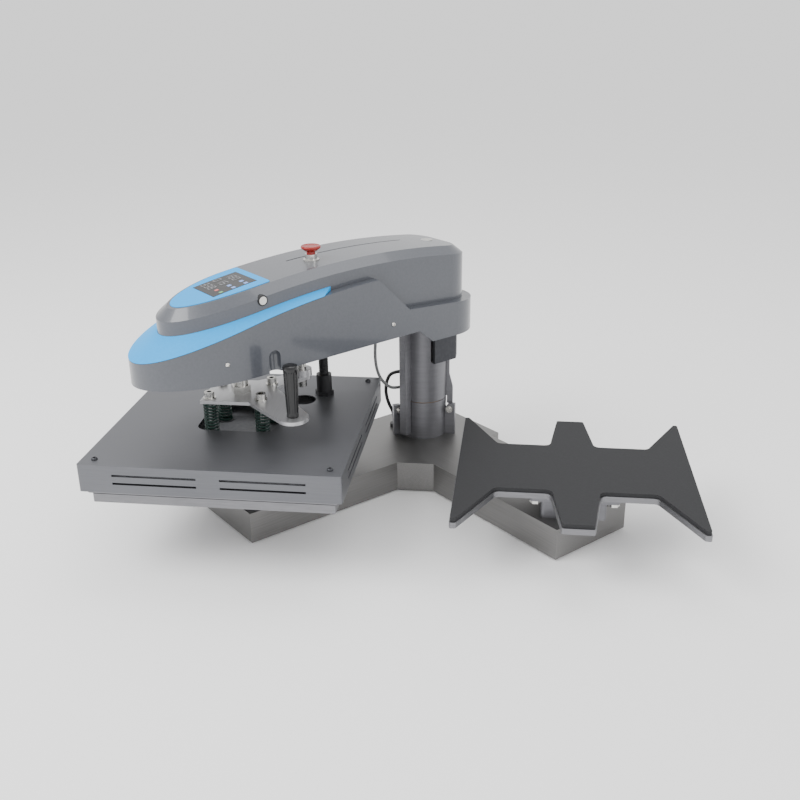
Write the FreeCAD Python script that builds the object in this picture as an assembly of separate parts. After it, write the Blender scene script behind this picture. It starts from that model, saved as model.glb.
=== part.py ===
import FreeCAD, Part
import math
import os

"""Swing-away pneumatic heat press with two work stations.

Frame: origin where the column axis meets the table, +X right, +Y away from the user, +Z up.
Two arms of a low V-shaped chassis reach forward at 45 degrees from the column, each with a
station on its end. The head turns a quarter turn about the column from the left station to
the right one, and the heating plate travels up and down on an air cylinder in the head.
The head is drawn along its own +x (column to nose) and +y (its left side), then turned.
All lengths are in millimetres.
"""

V = FreeCAD.Vector
UP = V(0, 0, 1)

# ---------- overall layout ----------
PRESS_RADIUS = 409.0        # column axis to the centre of either station
HEAD_REST_ANGLE = 225.0     # direction of the head over the left station
SWING_ANGLE = 90.0          # from the left station to the right one
PRESS_STROKE = 45.0         # travel of the heating plate

# ---------- chassis ----------
FOOT_HEIGHT = 3.0
FOOT_RADIUS = 16.0
CHASSIS_TOP = 60.0
ARM_LENGTH = PRESS_RADIUS + 48.0
ARM_HALF_WIDTH = 87.0
HUB_HALF_WIDTH = 108.0
HUB_BACK = 112.0            # the hub's rear face, behind the column
GUSSET_FRONT = 158.0        # the front face between the arms
SHEET = 3.0                 # chassis sheet
FLOOR_SHEET = 2.0
FLOOR_GAP = 0.5

# ---------- column ----------
POST_RADIUS = 32.0
POST_WALL = 8.0
POST_FLANGE_RADIUS = 54.0
POST_FLANGE_THICK = 10.0
COLLAR_RADIUS = 45.5
COLLAR_TOP = 137.0
WASHER_THICK = 1.6
TUBE_RADIUS = 46.0
TUBE_WALL = 6.0
TUBE_TOP = 318.0
BUSH_LENGTH = 28.0
SLOT_ANGLE = -61.0 - HEAD_REST_ANGLE    # cable slot in the tube, beside the clamp block
WEB_ANGLE = 3.0
WEB_BOTTOM = 122.0          # the web hangs a little below the tube, outside the collar
RUNNING_GAP = 0.05          # radial clearance of turning and sliding fits
JOIN_GAP = 0.2              # clearance between parts that are bolted or dropped together

# ---------- end stops of the swing ----------
FIN_OFFSET = 9.0            # degrees that the stop bar stands ahead of the head's centre line
FIN_HALF_THICK = 8.0
FIN_OUTER = 62.0            # radius of the outer edge of the stop bar
FIN_CLEAR = 1.5             # between the bar and the fixed collar
FIN_BOTTOM = 70.0
LUG_THICK = 10.0
LUG_OUTER = 65.0
LUG_TOP = 124.0
STOP_BOLT_HEIGHT = 114.0
STOP_BOLT_RADIUS = 4.0
STOP_GAP = 0.3
BOLT_TIP_BACK = 1.5         # the bar's face leans, so the round tip stands back by this much
STOP_REACH = 13.0           # bolt tip to the lug's inner face

# ---------- left station ----------
PLATEN_SIZE = 400.0
PLATEN_BOTTOM = 128.0
PLATEN_THICK = 15.0
PAD_THICK = 3.8
PAD_INSET = 1.0
PEDESTAL_HALF = 0.1375 * PLATEN_SIZE
PEDESTAL_WALL = 5.0
RECEIVER_HALF = 0.1875 * PLATEN_SIZE
RECEIVER_THICK = 12.0
RECEIVER_BOLT_PITCH = 0.325 * PLATEN_SIZE
RECEIVER_BOLT_RADIUS = 5.0

# ---------- right station (shirt platen) ----------
SHIRT_BOTTOM = 113.0
SHIRT_THICK = 10.0
SHIRT_PAD_THICK = 7.0
SHIRT_PAD_INSET = 1.5
TONGUE_HALF = 26.0          # half-width of the centre tongue at the edge of the platen
TONGUE_FLARE = 7.5          # degrees that each side of the tongue widens inwards
WING_NOTCH_ANGLE = 27.6     # degrees between a wing's notch edge and the Y axis
WING_TIP = 10.0             # flat left on a wing's end
NOTCH_DEPTH = 112.0
NOTCH_RADIUS = 12.0

# ---------- heating plate and its cover ----------
CONTACT_GAP = 0.5           # between the lowered plate and the pad
HEAT_OVERHANG = 6.0         # the hot plate stands this far outside the platen
HEAT_THICK = 16.0
BLANKET_THICK = 14.0
COVER_SHEET = 1.5
COVER_MARGIN = 8.0          # and its cover this far outside the hot plate
COVER_LIFT = 6.0            # cover's lower edge above the plate's face
COVER_TOP = 200.5
COVER_CORNER = 4.0
GLAND_U = PRESS_RADIUS - 172.0             # the heater lead's gland, along the head's centre line
SLOT_LENGTH = 138.0
SLOT_HEIGHT = 3.6
SLOT_PITCH_Z = 14.0
SLOT_OFFSET = 88.0
SCREW_INSET = 22.0

# ---------- carriage ----------
BRACKET_TOP = 250.0
BRACKET_THICK = 6.0
SPRING_PITCH_X = 90.0
SPRING_PITCH_Y = 76.0
SPRING_RADIUS = 12.5
COVER_OPENING_MARGIN = 23.0  # from the outer springs' axes to the edge of the cover's opening
COVER_OPENING_RADIUS = 20.0
SPRING_BOLT_RADIUS = 5.0
BRACKET_MARGIN = 13.0
HANDLE_REACH = 154.0        # press axis to the handle, across the head
HANDLE_SHIFT = -9.0         # and along the head, towards the column
HANDLE_HEIGHT = 90.0
HANDLE_TOP_RADIUS = 12.5
HANDLE_BOTTOM_RADIUS = 10.0
LOBE_RADIUS = 26.0
ROD_RADIUS = 12.5
GUIDE_RADIUS = 8.0
GUIDE_OFFSET = 125.0        # guide rod to the press axis, along the head
GUIDE_TOP = 392.0
GUIDE_HOLE_RADIUS = 23.0    # clearance hole in the cover under the guide rod

# ---------- head structure ----------
BEAM_BOTTOM = 322.0
BEAM_HALF_WIDTH = 56.0
BEAM_PLATE = 8.0
BEAM_REAR = -40.0
BEAM_FRONT = PRESS_RADIUS + 83.0
TAB_HALF = 10.0
TAB_THICK = 4.0
BLOCK_BOTTOM = 221.0
BLOCK_HALF_WIDTH = 52.0
BLOCK_FRONT = 14.0
BLOCK_BACK = -58.0
BLOCK_CHAMFER = 18.0
CYLINDER_HALF = 50.0
CYLINDER_BORE = 40.0
CYLINDER_BOTTOM = 332.0
CYLINDER_CAP = 10.0
PISTON_THICK = 14.0
CYLINDER_TOP = CYLINDER_BOTTOM + 2 * CYLINDER_CAP + PISTON_THICK + PRESS_STROKE + 7.0

# ---------- head shells ----------
SHELL_WALL = 3.0
SHELL_HALF = 97.0
SHELL_TIP = PRESS_RADIUS + 191.0
SHELL_NOSE = 165.0          # length of the rounded nose
SHELL_REAR = -75.0
SHELL_REAR_RADIUS = 70.0
SHELL_BOTTOM = 315.0
SHELL_NOSE_BOTTOM = 305.0   # the lower edge falls gently towards the nose
NICHE_U = PRESS_RADIUS - 15.0             # half-round pockets in both sides, beside the handle
NICHE_RADIUS = 11.0
NICHE_TOP = 336.0
SHELL_REAR_BOTTOM = 289.0
SHELL_SCREW_U = (148.0, PRESS_RADIUS + 70.0)
SHELL_SCREW_Z = 341.0
SHELL_SCREW_RADIUS = 2.0
LEDGE_STEP = 17.0           # the upper tier stands this far inside the lower one
UPPER_TIP = SHELL_TIP - 53.0
UPPER_NOSE = 150.0
TOP_BAND_DROP = 13.0        # sloping band round the top: its height on the wall
TOP_BAND_WIDTH = 19.0       # and its width on the top
GROOVE_REAR = 45.0          # shallow moulded groove along the top
GROOVE_FRONT = 296.0
GROOVE_V = -14.0
GROOVE_HALF = 1.6
GROOVE_DEPTH = 1.0
TOP_PEAK_U = PRESS_RADIUS - 235.0
TOP_PEAK_Z = 464.0
TOP_RADIUS = 1560.0         # the top of the head is one long arc in side view
LEDGE_PEAK_U = 140.0
LEDGE_PEAK_Z = 428.0
LEDGE_CURVE = 0.00038
BASE_PEAK_Z = 434.0
BASE_CURVE = 0.000315
LEDGE_DROP_TOP = 178.0
LEDGE_DROP_FOOT = 110.0
LEDGE_REAR_Z = 361.0
TRIM_REAR = 268.0
TRIM_TAPER = 24.0           # the trim's lower edge stops this far short of its upper one
TRIM_GAP = 0.6               # the trim's flat foot crosses the ledge's slight crown

# ---------- controls ----------
PANEL_REAR = UPPER_TIP - 177.0
PANEL_TIP = UPPER_TIP - 25.0
PANEL_NOSE = 130.0
PANEL_HALF = 58.0
PANEL_PROUD = 0.8
PANEL_SEAT = 1.2
DISPLAY_FRONT = UPPER_TIP - 82.0
DISPLAY_REAR = UPPER_TIP - 164.0
DISPLAY_HALF = 36.5
PLUG_U = -8.0
PLUG_RADIUS = 11.0
ESTOP_U = 263.0
ESTOP_V = 16.0
ESTOP_NECK = 12.0           # height of the bright neck above the shell
ESTOP_RADIUS = 17.5
ESTOP_TRAVEL = 4.0
BUTTON_U = PRESS_RADIUS - 9.0
BUTTON_Z = 429.5
BUTTON_RADIUS = 8.0

# ---------- cables and tubes ----------
CONDUIT_RADIUS = 9.0
CONDUIT_TOP = 352.0
GLAND_SHANK = 7.0
CABLE_RADIUS = 3.5
ENTRY_GAP = 1.5             # round a cable where it goes through the column's wall
AIR_RADIUS = 3.0
# Power cable from the chassis to the turning column, points of its route in the object's frame.
CABLE_ROUTE = [
    (-62.0, 12.0, 68.0),
    (-62.0, 12.0, 88.0),
    (-74.0, 11.0, 112.0),
    (-79.0, 9.0, 138.0),
    (-76.0, 7.0, 163.0),
    (-65.0, 4.0, 183.0),
    (-43.0, 1.0, 186.0),
]
# Air tube from the head back down to the column, points of its route along the head's axes.
AIR_ROUTE = [
    (102.0, -20.0, 314.0),
    (102.0, -20.0, 294.0),
    (103.0, -20.0, 268.0),
    (105.0, -20.0, 240.0),
    (103.0, -19.0, 214.0),
    (95.0, -18.0, 191.0),
    (81.0, -16.0, 173.0),
    (64.0, -14.0, 162.5),
    (43.5, -12.0, 163.0),
]
CABLE_EXIT = CABLE_ROUTE[0][:2]

# ---------- values that follow from the sizes above ----------
STATION = PRESS_RADIUS / math.sqrt(2.0)
HEAT_SIZE = PLATEN_SIZE + 2 * HEAT_OVERHANG
COVER_SIZE = HEAT_SIZE + 2 * COVER_MARGIN
PAD_TOP = PLATEN_BOTTOM + PLATEN_THICK + PAD_THICK
HEAT_BOTTOM = PAD_TOP + CONTACT_GAP
HEAT_TOP = HEAT_BOTTOM + HEAT_THICK
COVER_BOTTOM = HEAT_BOTTOM + COVER_LIFT
BRACKET_BOTTOM = BRACKET_TOP - BRACKET_THICK
TUBE_BOTTOM = COLLAR_TOP + WASHER_THICK
POST_TOP = BEAM_BOTTOM + BEAM_PLATE + 0.3
UPPER_HALF = SHELL_HALF - LEDGE_STEP
UPPER_REAR = SHELL_REAR + LEDGE_STEP
UPPER_REAR_RADIUS = SHELL_REAR_RADIUS - LEDGE_STEP
SHIRT_PAD_TOP = SHIRT_BOTTOM + SHIRT_THICK + SHIRT_PAD_THICK


# ---------- small helpers ----------
def box(x0, x1, y0, y1, z0, z1):
    return Part.makeBox(x1 - x0, y1 - y0, z1 - z0, V(x0, y0, z0))


def rod(radius, z0, z1, x=0.0, y=0.0):
    return Part.makeCylinder(radius, z1 - z0, V(x, y, z0), UP)


def pipe(outer, inner, z0, z1, x=0.0, y=0.0):
    return rod(outer, z0, z1, x, y).cut(rod(inner, z0 - 1, z1 + 1, x, y))


def rod_along(radius, start, direction, length):
    return Part.makeCylinder(radius, length, V(*start), V(*direction))


def hexagon(flats, z0, z1, x=0.0, y=0.0):
    radius = flats / math.sqrt(3.0)
    corners = [
        V(x + radius * math.cos(math.radians(60 * i)), y + radius * math.sin(math.radians(60 * i)), z0)
        for i in range(7)
    ]
    return Part.Face(Part.makePolygon(corners)).extrude(V(0, 0, z1 - z0))


def prism(points, z0, z1):
    corners = [V(x, y, z0) for x, y in points]
    return Part.Face(Part.makePolygon(corners + corners[:1])).extrude(V(0, 0, z1 - z0))


def round_uprights(solid, radius, keep=lambda edge: True):
    """Fillet the vertical edges for which keep(edge) is true."""
    edges = []
    for edge in solid.Edges:
        ends = [vertex.Point for vertex in edge.Vertexes]
        if len(ends) < 2:
            continue
        run = ends[1] - ends[0]
        if abs(run.x) + abs(run.y) < 1e-6 and keep(edge):
            edges.append(edge)
    return solid.makeFillet(radius, edges)


def turned(shape, angle):
    copy = shape.copy()
    copy.rotate(V(0, 0, 0), UP, angle)
    return copy


def on_head(shape):
    """Turn a shape drawn along the head's own axes to the rest position."""
    return turned(shape, HEAD_REST_ANGLE)


def moved(shape, x, y, z=0.0):
    copy = shape.copy()
    copy.translate(V(x, y, z))
    return copy


def group(shapes):
    solids = [solid for shape in shapes for solid in shape.Solids]
    return solids[0] if len(solids) == 1 else Part.makeCompound(solids)


def save(name, *shapes):
    group(shapes).exportStep("parts/" + name + ".step")


def cap_screw(x, y, z, radius, head=6.0, length=10.0):
    """Socket screw with its head's underside at z, pointing down."""
    screw = rod(radius * 1.7, z, z + head, x, y).fuse(rod(radius, z - length, z + 0.01, x, y))
    socket = hexagon(radius * 1.5, z + head * 0.4, z + head + 1, x, y)
    return screw.removeSplitter().cut(socket)


# ---------- chassis ----------
def arm_outline(half_width, length):
    return [
        (-half_width, -half_width),
        (length, -half_width),
        (length, half_width),
        (-half_width, half_width),
    ]


def chassis_block(inset, z0, z1):
    """The V-shaped outline of the chassis, drawn inset on every side."""
    half = ARM_HALF_WIDTH - inset
    hub = HUB_HALF_WIDTH - inset
    arm = prism(arm_outline(half, ARM_LENGTH - inset), z0, z1)
    centre = prism(arm_outline(hub, hub), z0, z1)
    block = turned(arm, 225).fuse(turned(arm, 315)).fuse(turned(centre, 225))
    front = GUSSET_FRONT - inset
    reach = front - (ARM_HALF_WIDTH - inset) * math.sqrt(2.0)
    gusset = prism([(-reach, -front), (reach, -front), (0, -front + reach + 1)], z0, z1)
    block = block.fuse(gusset)
    behind = box(-300, 300, HUB_BACK - inset, 300, z0 - 1, z1 + 1)
    return block.cut(behind).removeSplitter()


def station_points(centre_x, pitch_x, pitch_y):
    return [
        (centre_x + sx * pitch_x / 2, -STATION + sy * pitch_y / 2) for sx in (-1, 1) for sy in (-1, 1)
    ]


def foot_points():
    along = ARM_LENGTH - 40.0
    across = ARM_HALF_WIDTH - 25.0
    points = [(0.0, 0.0)]
    for angle in (225, 315):
        for side in (-1, 1):
            turn = math.radians(angle)
            points.append(
                (
                    along * math.cos(turn) - side * across * math.sin(turn),
                    along * math.sin(turn) + side * across * math.cos(turn),
                )
            )
    return points


def make_chassis():
    shell = chassis_block(0, FOOT_HEIGHT, CHASSIS_TOP)
    shell = shell.cut(chassis_block(SHEET, FOOT_HEIGHT - 1, CHASSIS_TOP - SHEET))
    shell = shell.cut(rod(POST_RADIUS + JOIN_GAP, CHASSIS_TOP - 10, CHASSIS_TOP + 1))
    shell = shell.cut(rod(GLAND_SHANK, CHASSIS_TOP - 10, CHASSIS_TOP + 1, *CABLE_EXIT))
    inlet_top = V(0, 1, 0)
    for x, radius in ((-45.0, 9.0), (45.0, 7.0)):
        hole = Part.makeCylinder(radius, 20, V(x, HUB_BACK - 10, 32), inlet_top)
        shell = shell.cut(hole)
    save("chassis_shell", shell)

    floor = chassis_block(SHEET + FLOOR_GAP, FOOT_HEIGHT, FOOT_HEIGHT + FLOOR_SHEET)
    save("chassis_floor", floor)
    feet = [rod(FOOT_RADIUS, 0, FOOT_HEIGHT, x, y) for x, y in foot_points()]
    save("rubber_feet", *feet)

    gland = Part.makeCylinder(8.8, 16, V(-45, HUB_BACK - 6, 32), inlet_top)
    gland = gland.fuse(Part.makeCylinder(12, 5, V(-45, HUB_BACK, 32), inlet_top))
    gland = gland.fuse(Part.makeCylinder(10, 8, V(-45, HUB_BACK + 5, 32), inlet_top))
    save("mains_inlet_gland", gland.cut(Part.makeCylinder(4, 60, V(-45, HUB_BACK - 20, 32), inlet_top)))
    fitting = Part.makeCylinder(6.8, 12, V(45, HUB_BACK - 6, 32), inlet_top)
    fitting = fitting.fuse(Part.makeCylinder(9, 6, V(45, HUB_BACK, 32), inlet_top))
    fitting = fitting.fuse(Part.makeCylinder(7, 12, V(45, HUB_BACK + 5.9, 32), inlet_top))
    save("air_inlet_fitting", fitting.cut(Part.makeCylinder(3, 60, V(45, HUB_BACK - 20, 32), inlet_top)))


# ---------- column ----------

def make_column():
    flange_top = CHASSIS_TOP - SHEET
    post = pipe(POST_RADIUS, POST_RADIUS - POST_WALL, flange_top - POST_FLANGE_THICK, POST_TOP)
    flange = pipe(POST_FLANGE_RADIUS, POST_RADIUS - POST_WALL, flange_top - POST_FLANGE_THICK, flange_top)
    save("column_post", post.fuse(flange).removeSplitter())
    collar = pipe(COLLAR_RADIUS, POST_RADIUS + JOIN_GAP, CHASSIS_TOP, COLLAR_TOP)
    save("column_collar", collar)
    cap = pipe(POST_RADIUS + 8, 6.0, POST_TOP, POST_TOP + 6)
    save("post_cap", cap)
    save("thrust_washer", pipe(COLLAR_RADIUS - 1.5, POST_RADIUS + JOIN_GAP, COLLAR_TOP, TUBE_BOTTOM))


def lug_angles():
    """Where each stop lug stands, so that its bolt just meets the bar at the end of the swing."""
    mid = (COLLAR_RADIUS + LUG_OUTER) / 2
    offset = FIN_HALF_THICK + STOP_GAP + STOP_REACH + LUG_THICK / 2
    step = math.degrees(math.asin(offset / mid))
    start = HEAD_REST_ANGLE + FIN_OFFSET
    return start - step, start + SWING_ANGLE + step


def make_end_stops():
    lugs = []
    bolts = []
    mid = (COLLAR_RADIUS + FIN_CLEAR + FIN_OUTER) / 2
    for angle, side in zip(lug_angles(), (1, -1)):
        plate = Part.Face(
            Part.makePolygon(
                [
                    V(COLLAR_RADIUS - 2, -LUG_THICK / 2, CHASSIS_TOP),
                    V(LUG_OUTER, -LUG_THICK / 2, CHASSIS_TOP),
                    V(LUG_OUTER, -LUG_THICK / 2, LUG_TOP),
                    V(COLLAR_RADIUS + 6, -LUG_THICK / 2, LUG_TOP),
                    V(COLLAR_RADIUS - 2, -LUG_THICK / 2, LUG_TOP - 12),
                    V(COLLAR_RADIUS - 2, -LUG_THICK / 2, CHASSIS_TOP),
                ]
            )
        ).extrude(V(0, LUG_THICK, 0))
        plate = plate.cut(rod(COLLAR_RADIUS, CHASSIS_TOP - 1, LUG_TOP + 1))
        hole = rod_along(STOP_BOLT_RADIUS, (mid, -20, STOP_BOLT_HEIGHT), (0, 1, 0), 40)
        lugs.append(turned(plate.cut(hole), angle))
        tip = side * (LUG_THICK / 2 + STOP_REACH - BOLT_TIP_BACK)
        shank = rod_along(STOP_BOLT_RADIUS, (mid, tip, STOP_BOLT_HEIGHT), (0, -side, 0), LUG_THICK + 16)
        nut = rod_along(7.0, (mid, side * (LUG_THICK / 2 + 4.5), STOP_BOLT_HEIGHT), (0, -side, 0), 4.5)
        head = rod_along(7.0, (mid, -side * (LUG_THICK / 2 + 0.2), STOP_BOLT_HEIGHT), (0, -side, 0), 5)
        bolts.append(turned(shank.fuse(nut).fuse(head).removeSplitter(), angle))
    save("stop_lugs", *lugs)
    save("stop_bolts", *bolts)


# ---------- stations ----------
def make_pedestal(name, centre_x, top):
    half = PEDESTAL_HALF
    column = box(centre_x - half, centre_x + half, -STATION - half, -STATION + half, CHASSIS_TOP, top)
    inner = half - PEDESTAL_WALL
    hollow = box(
        centre_x - inner, centre_x + inner, -STATION - inner, -STATION + inner, CHASSIS_TOP + 5, top - 5
    )
    column = round_uprights(column, 6.0).cut(hollow)
    save(name, column)


def receiver_plate(centre_x, bottom):
    half = RECEIVER_HALF
    plate = box(-half, half, -half, half, bottom, bottom + RECEIVER_THICK)
    plate = moved(plate, centre_x, -STATION)
    plate = round_uprights(plate, 8.0)
    for x, y in station_points(centre_x, RECEIVER_BOLT_PITCH, RECEIVER_BOLT_PITCH):
        plate = plate.cut(rod(RECEIVER_BOLT_RADIUS + JOIN_GAP, bottom - 1, bottom + RECEIVER_THICK + 1, x, y))
    return plate


def receiver_bolts(centre_x, bottom):
    bolts = []
    for x, y in station_points(centre_x, RECEIVER_BOLT_PITCH, RECEIVER_BOLT_PITCH):
        shank = rod(RECEIVER_BOLT_RADIUS, bottom - 6, bottom + RECEIVER_THICK + 6, x, y)
        bolts.append(shank.fuse(hexagon(16, bottom - 6, bottom, x, y)).removeSplitter())
    return bolts


def blind_holes(solid, centre_x, bottom):
    for x, y in station_points(centre_x, RECEIVER_BOLT_PITCH, RECEIVER_BOLT_PITCH):
        solid = solid.cut(rod(RECEIVER_BOLT_RADIUS, bottom - 1, bottom + 6, x, y))
    return solid


def square_block(centre_x, size, z0, z1):
    half = size / 2
    return box(centre_x - half, centre_x + half, -STATION - half, -STATION + half, z0, z1)


def notch_outline(side):
    """One V-notch in the front edge of the shirt platen, mirrored by side, in platen coordinates."""
    edge = PLATEN_SIZE / 2
    floor = -edge + NOTCH_DEPTH
    tongue_front = TONGUE_HALF
    tongue_back = TONGUE_HALF + NOTCH_DEPTH * math.tan(math.radians(TONGUE_FLARE))
    wing_front = edge - WING_TIP
    wing_back = wing_front - NOTCH_DEPTH * math.tan(math.radians(WING_NOTCH_ANGLE))
    return [
        (side * tongue_front, -edge - 20),
        (side * tongue_front, -edge),
        (side * tongue_back, floor),
        (side * wing_back, floor),
        (side * wing_front, -edge),
        (side * (wing_front + 1), -edge - 20),
    ]


def shirt_block(inset, z0, z1):
    """Square platen with two notches front and back, so that sleeves and collars hang clear."""
    size = PLATEN_SIZE - 2 * inset
    block = box(-size / 2, size / 2, -size / 2, size / 2, z0, z1)
    for side in (-1, 1):
        notch = prism(notch_outline(side), z0 - 1, z1 + 1)
        if inset > 0:
            notch = notch.fuse(moved(notch, inset, 0)).fuse(moved(notch, -inset, 0))
            notch = notch.fuse(moved(notch, 0, inset)).removeSplitter()
        block = block.cut(notch)
        block = block.cut(turned(notch, 180))
    notch_reach = PLATEN_SIZE / 2 - 60
    block = round_uprights(block, NOTCH_RADIUS, lambda edge: abs(edge.Vertexes[0].Point.y) < notch_reach)
    block = round_uprights(block, 3.5, lambda edge: abs(edge.Vertexes[0].Point.y) > PLATEN_SIZE / 2 - 20)
    return moved(block, STATION, -STATION)


def make_stations():
    left_receiver = PLATEN_BOTTOM - RECEIVER_THICK
    make_pedestal("left_pedestal", -STATION, left_receiver)
    slab = square_block(-STATION, PLATEN_SIZE, PLATEN_BOTTOM, PLATEN_BOTTOM + PLATEN_THICK)
    slab = round_uprights(slab, 3.0)
    save("left_platen", blind_holes(slab, -STATION, PLATEN_BOTTOM))
    pad = square_block(-STATION, PLATEN_SIZE - 2 * PAD_INSET, PLATEN_BOTTOM + PLATEN_THICK, PAD_TOP)
    save("left_pad", round_uprights(pad, 3.0))

    right_receiver = SHIRT_BOTTOM - RECEIVER_THICK
    make_pedestal("right_pedestal", STATION, right_receiver)
    plates = [receiver_plate(-STATION, left_receiver), receiver_plate(STATION, right_receiver)]
    save("receiver_plates", *plates)
    shirt = shirt_block(0, SHIRT_BOTTOM, SHIRT_BOTTOM + SHIRT_THICK)
    save("shirt_platen", blind_holes(shirt, STATION, SHIRT_BOTTOM))
    save("shirt_pad", shirt_block(SHIRT_PAD_INSET, SHIRT_BOTTOM + SHIRT_THICK, SHIRT_PAD_TOP))
    save("receiver_bolts", *receiver_bolts(-STATION, left_receiver), *receiver_bolts(STATION, right_receiver))


# ---------- heating plate ----------
def spring_points():
    return station_points(-STATION, SPRING_PITCH_X, SPRING_PITCH_Y)


def head_to_world(u, v):
    turn = math.radians(HEAD_REST_ANGLE)
    return u * math.cos(turn) - v * math.sin(turn), u * math.sin(turn) + v * math.cos(turn)


def make_heating_plate():
    plate = square_block(-STATION, HEAT_SIZE, HEAT_BOTTOM, HEAT_TOP)
    plate = round_uprights(plate, 6.0)
    blanket = square_block(-STATION, HEAT_SIZE - 16, HEAT_TOP, HEAT_TOP + BLANKET_THICK)
    boss_top = HEAT_TOP + BLANKET_THICK + 2
    for x, y in spring_points():
        plate = plate.fuse(rod(SPRING_RADIUS + 3, HEAT_TOP - 1, boss_top, x, y))
        blanket = blanket.cut(rod(SPRING_RADIUS + 3 + JOIN_GAP, HEAT_TOP - 1, boss_top + 1, x, y))
    for x, y in spring_points():
        plate = plate.cut(rod(SPRING_BOLT_RADIUS, HEAT_TOP - 4, boss_top + 1, x, y))
    for x, y in cover_screw_points():
        plate = plate.fuse(rod(7, HEAT_TOP - 1, COVER_TOP - COVER_SHEET, x, y))
        plate = plate.cut(rod(3.0, COVER_TOP - 12, COVER_TOP, x, y))
        blanket = blanket.cut(rod(7 + JOIN_GAP, HEAT_TOP - 1, COVER_TOP, x, y))
    save("heating_plate", plate.removeSplitter())
    save("insulation_blanket", blanket)
    return boss_top


def cover_side_slots():
    """Two pairs of long thin slots, drawn through the front face of a cover centred on 0, 0."""
    slots = []
    middle = (COVER_BOTTOM + COVER_TOP) / 2
    for x in (-SLOT_OFFSET, SLOT_OFFSET):
        for level in (-0.5, 0.5):
            z = middle + level * SLOT_PITCH_Z
            half = SLOT_LENGTH / 2
            low = z - SLOT_HEIGHT / 2
            slots.append(box(x - half, x + half, -COVER_SIZE, -COVER_SIZE / 2 + 20, low, low + SLOT_HEIGHT))
    return slots


def cover_screw_points():
    pitch = COVER_SIZE - 2 * SCREW_INSET
    return station_points(-STATION, pitch, pitch)


def make_cover():
    outer = square_block(-STATION, COVER_SIZE, COVER_BOTTOM, COVER_TOP)
    outer = round_uprights(outer, COVER_CORNER)
    inside = square_block(-STATION, COVER_SIZE - 2 * COVER_SHEET, COVER_BOTTOM - 1, COVER_TOP - COVER_SHEET)
    cover = outer.cut(round_uprights(inside, COVER_CORNER - COVER_SHEET))
    for slot in cover_side_slots():
        for angle in (0, 90, 180, 270):
            cover = cover.cut(moved(turned(slot, angle), -STATION, -STATION))
    half_x = SPRING_PITCH_X / 2 + COVER_OPENING_MARGIN
    half_y = SPRING_PITCH_Y / 2 + COVER_OPENING_MARGIN
    opening = box(-half_x, half_x, -half_y, half_y, COVER_TOP - 10, COVER_TOP + 1)
    cover = cover.cut(moved(round_uprights(opening, COVER_OPENING_RADIUS), -STATION, -STATION))
    for x, y in cover_screw_points():
        cover = cover.cut(rod(3.0 + JOIN_GAP, COVER_TOP - 10, COVER_TOP + 1, x, y))
    gland_x, gland_y = head_to_world(GLAND_U, 0)
    hole_x, hole_y = head_to_world(PRESS_RADIUS - GUIDE_OFFSET, 0)
    cover = cover.cut(rod(10 + JOIN_GAP, COVER_TOP - 10, COVER_TOP + 1, gland_x, gland_y))
    cover = cover.cut(rod(GUIDE_HOLE_RADIUS, COVER_TOP - 10, COVER_TOP + 1, hole_x, hole_y))
    save("heat_cover", cover)

    screws = [cap_screw(x, y, COVER_TOP, 3.0, head=4.0, length=9.0) for x, y in cover_screw_points()]
    save("cover_screws", *screws)

    gland = rod(10, COVER_TOP - 8, COVER_TOP, gland_x, gland_y)
    gland = gland.fuse(hexagon(30, COVER_TOP, COVER_TOP + 8, gland_x, gland_y))
    gland = gland.fuse(rod(14, COVER_TOP + 8, COVER_TOP + 40, gland_x, gland_y))
    save("cover_gland", gland.cut(rod(9 + JOIN_GAP, COVER_TOP - 10, COVER_TOP + 50, gland_x, gland_y)))


# ---------- carriage ----------
def bracket_plate():
    """Plate over the four springs, with an arm out to the handle and one back to the guide rod."""
    half_x = SPRING_PITCH_X / 2 + BRACKET_MARGIN
    half_y = SPRING_PITCH_Y / 2 + BRACKET_MARGIN
    plate = box(-half_x, half_x, -half_y, half_y, BRACKET_BOTTOM, BRACKET_TOP)
    lobe_x, lobe_y = head_to_world(HANDLE_SHIFT, HANDLE_REACH)
    arm_x, arm_y = head_to_world(0, 1)
    side_x, side_y = head_to_world(1, 0)
    lobe_low = HANDLE_SHIFT - LOBE_RADIUS
    lobe_high = HANDLE_SHIFT + LOBE_RADIUS
    arm = []
    for along, across in ((0, -60), (HANDLE_REACH, lobe_low), (HANDLE_REACH, lobe_high), (0, 16)):
        arm.append((along * arm_x + across * side_x, along * arm_y + across * side_y))
    plate = plate.fuse(prism(arm, BRACKET_BOTTOM, BRACKET_TOP))
    plate = plate.fuse(rod(LOBE_RADIUS, BRACKET_BOTTOM, BRACKET_TOP, lobe_x, lobe_y))
    guide = []
    for along, across in ((0, -30), (GUIDE_OFFSET, -16), (GUIDE_OFFSET, 16), (0, 30)):
        guide.append((-along * side_x + across * arm_x, -along * side_y + across * arm_y))
    guide_x, guide_y = head_to_world(-GUIDE_OFFSET, 0)
    plate = plate.fuse(prism(guide, BRACKET_BOTTOM, BRACKET_TOP))
    plate = plate.fuse(rod(16, BRACKET_BOTTOM, BRACKET_TOP, guide_x, guide_y))
    return moved(plate.removeSplitter(), -STATION, -STATION)


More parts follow.
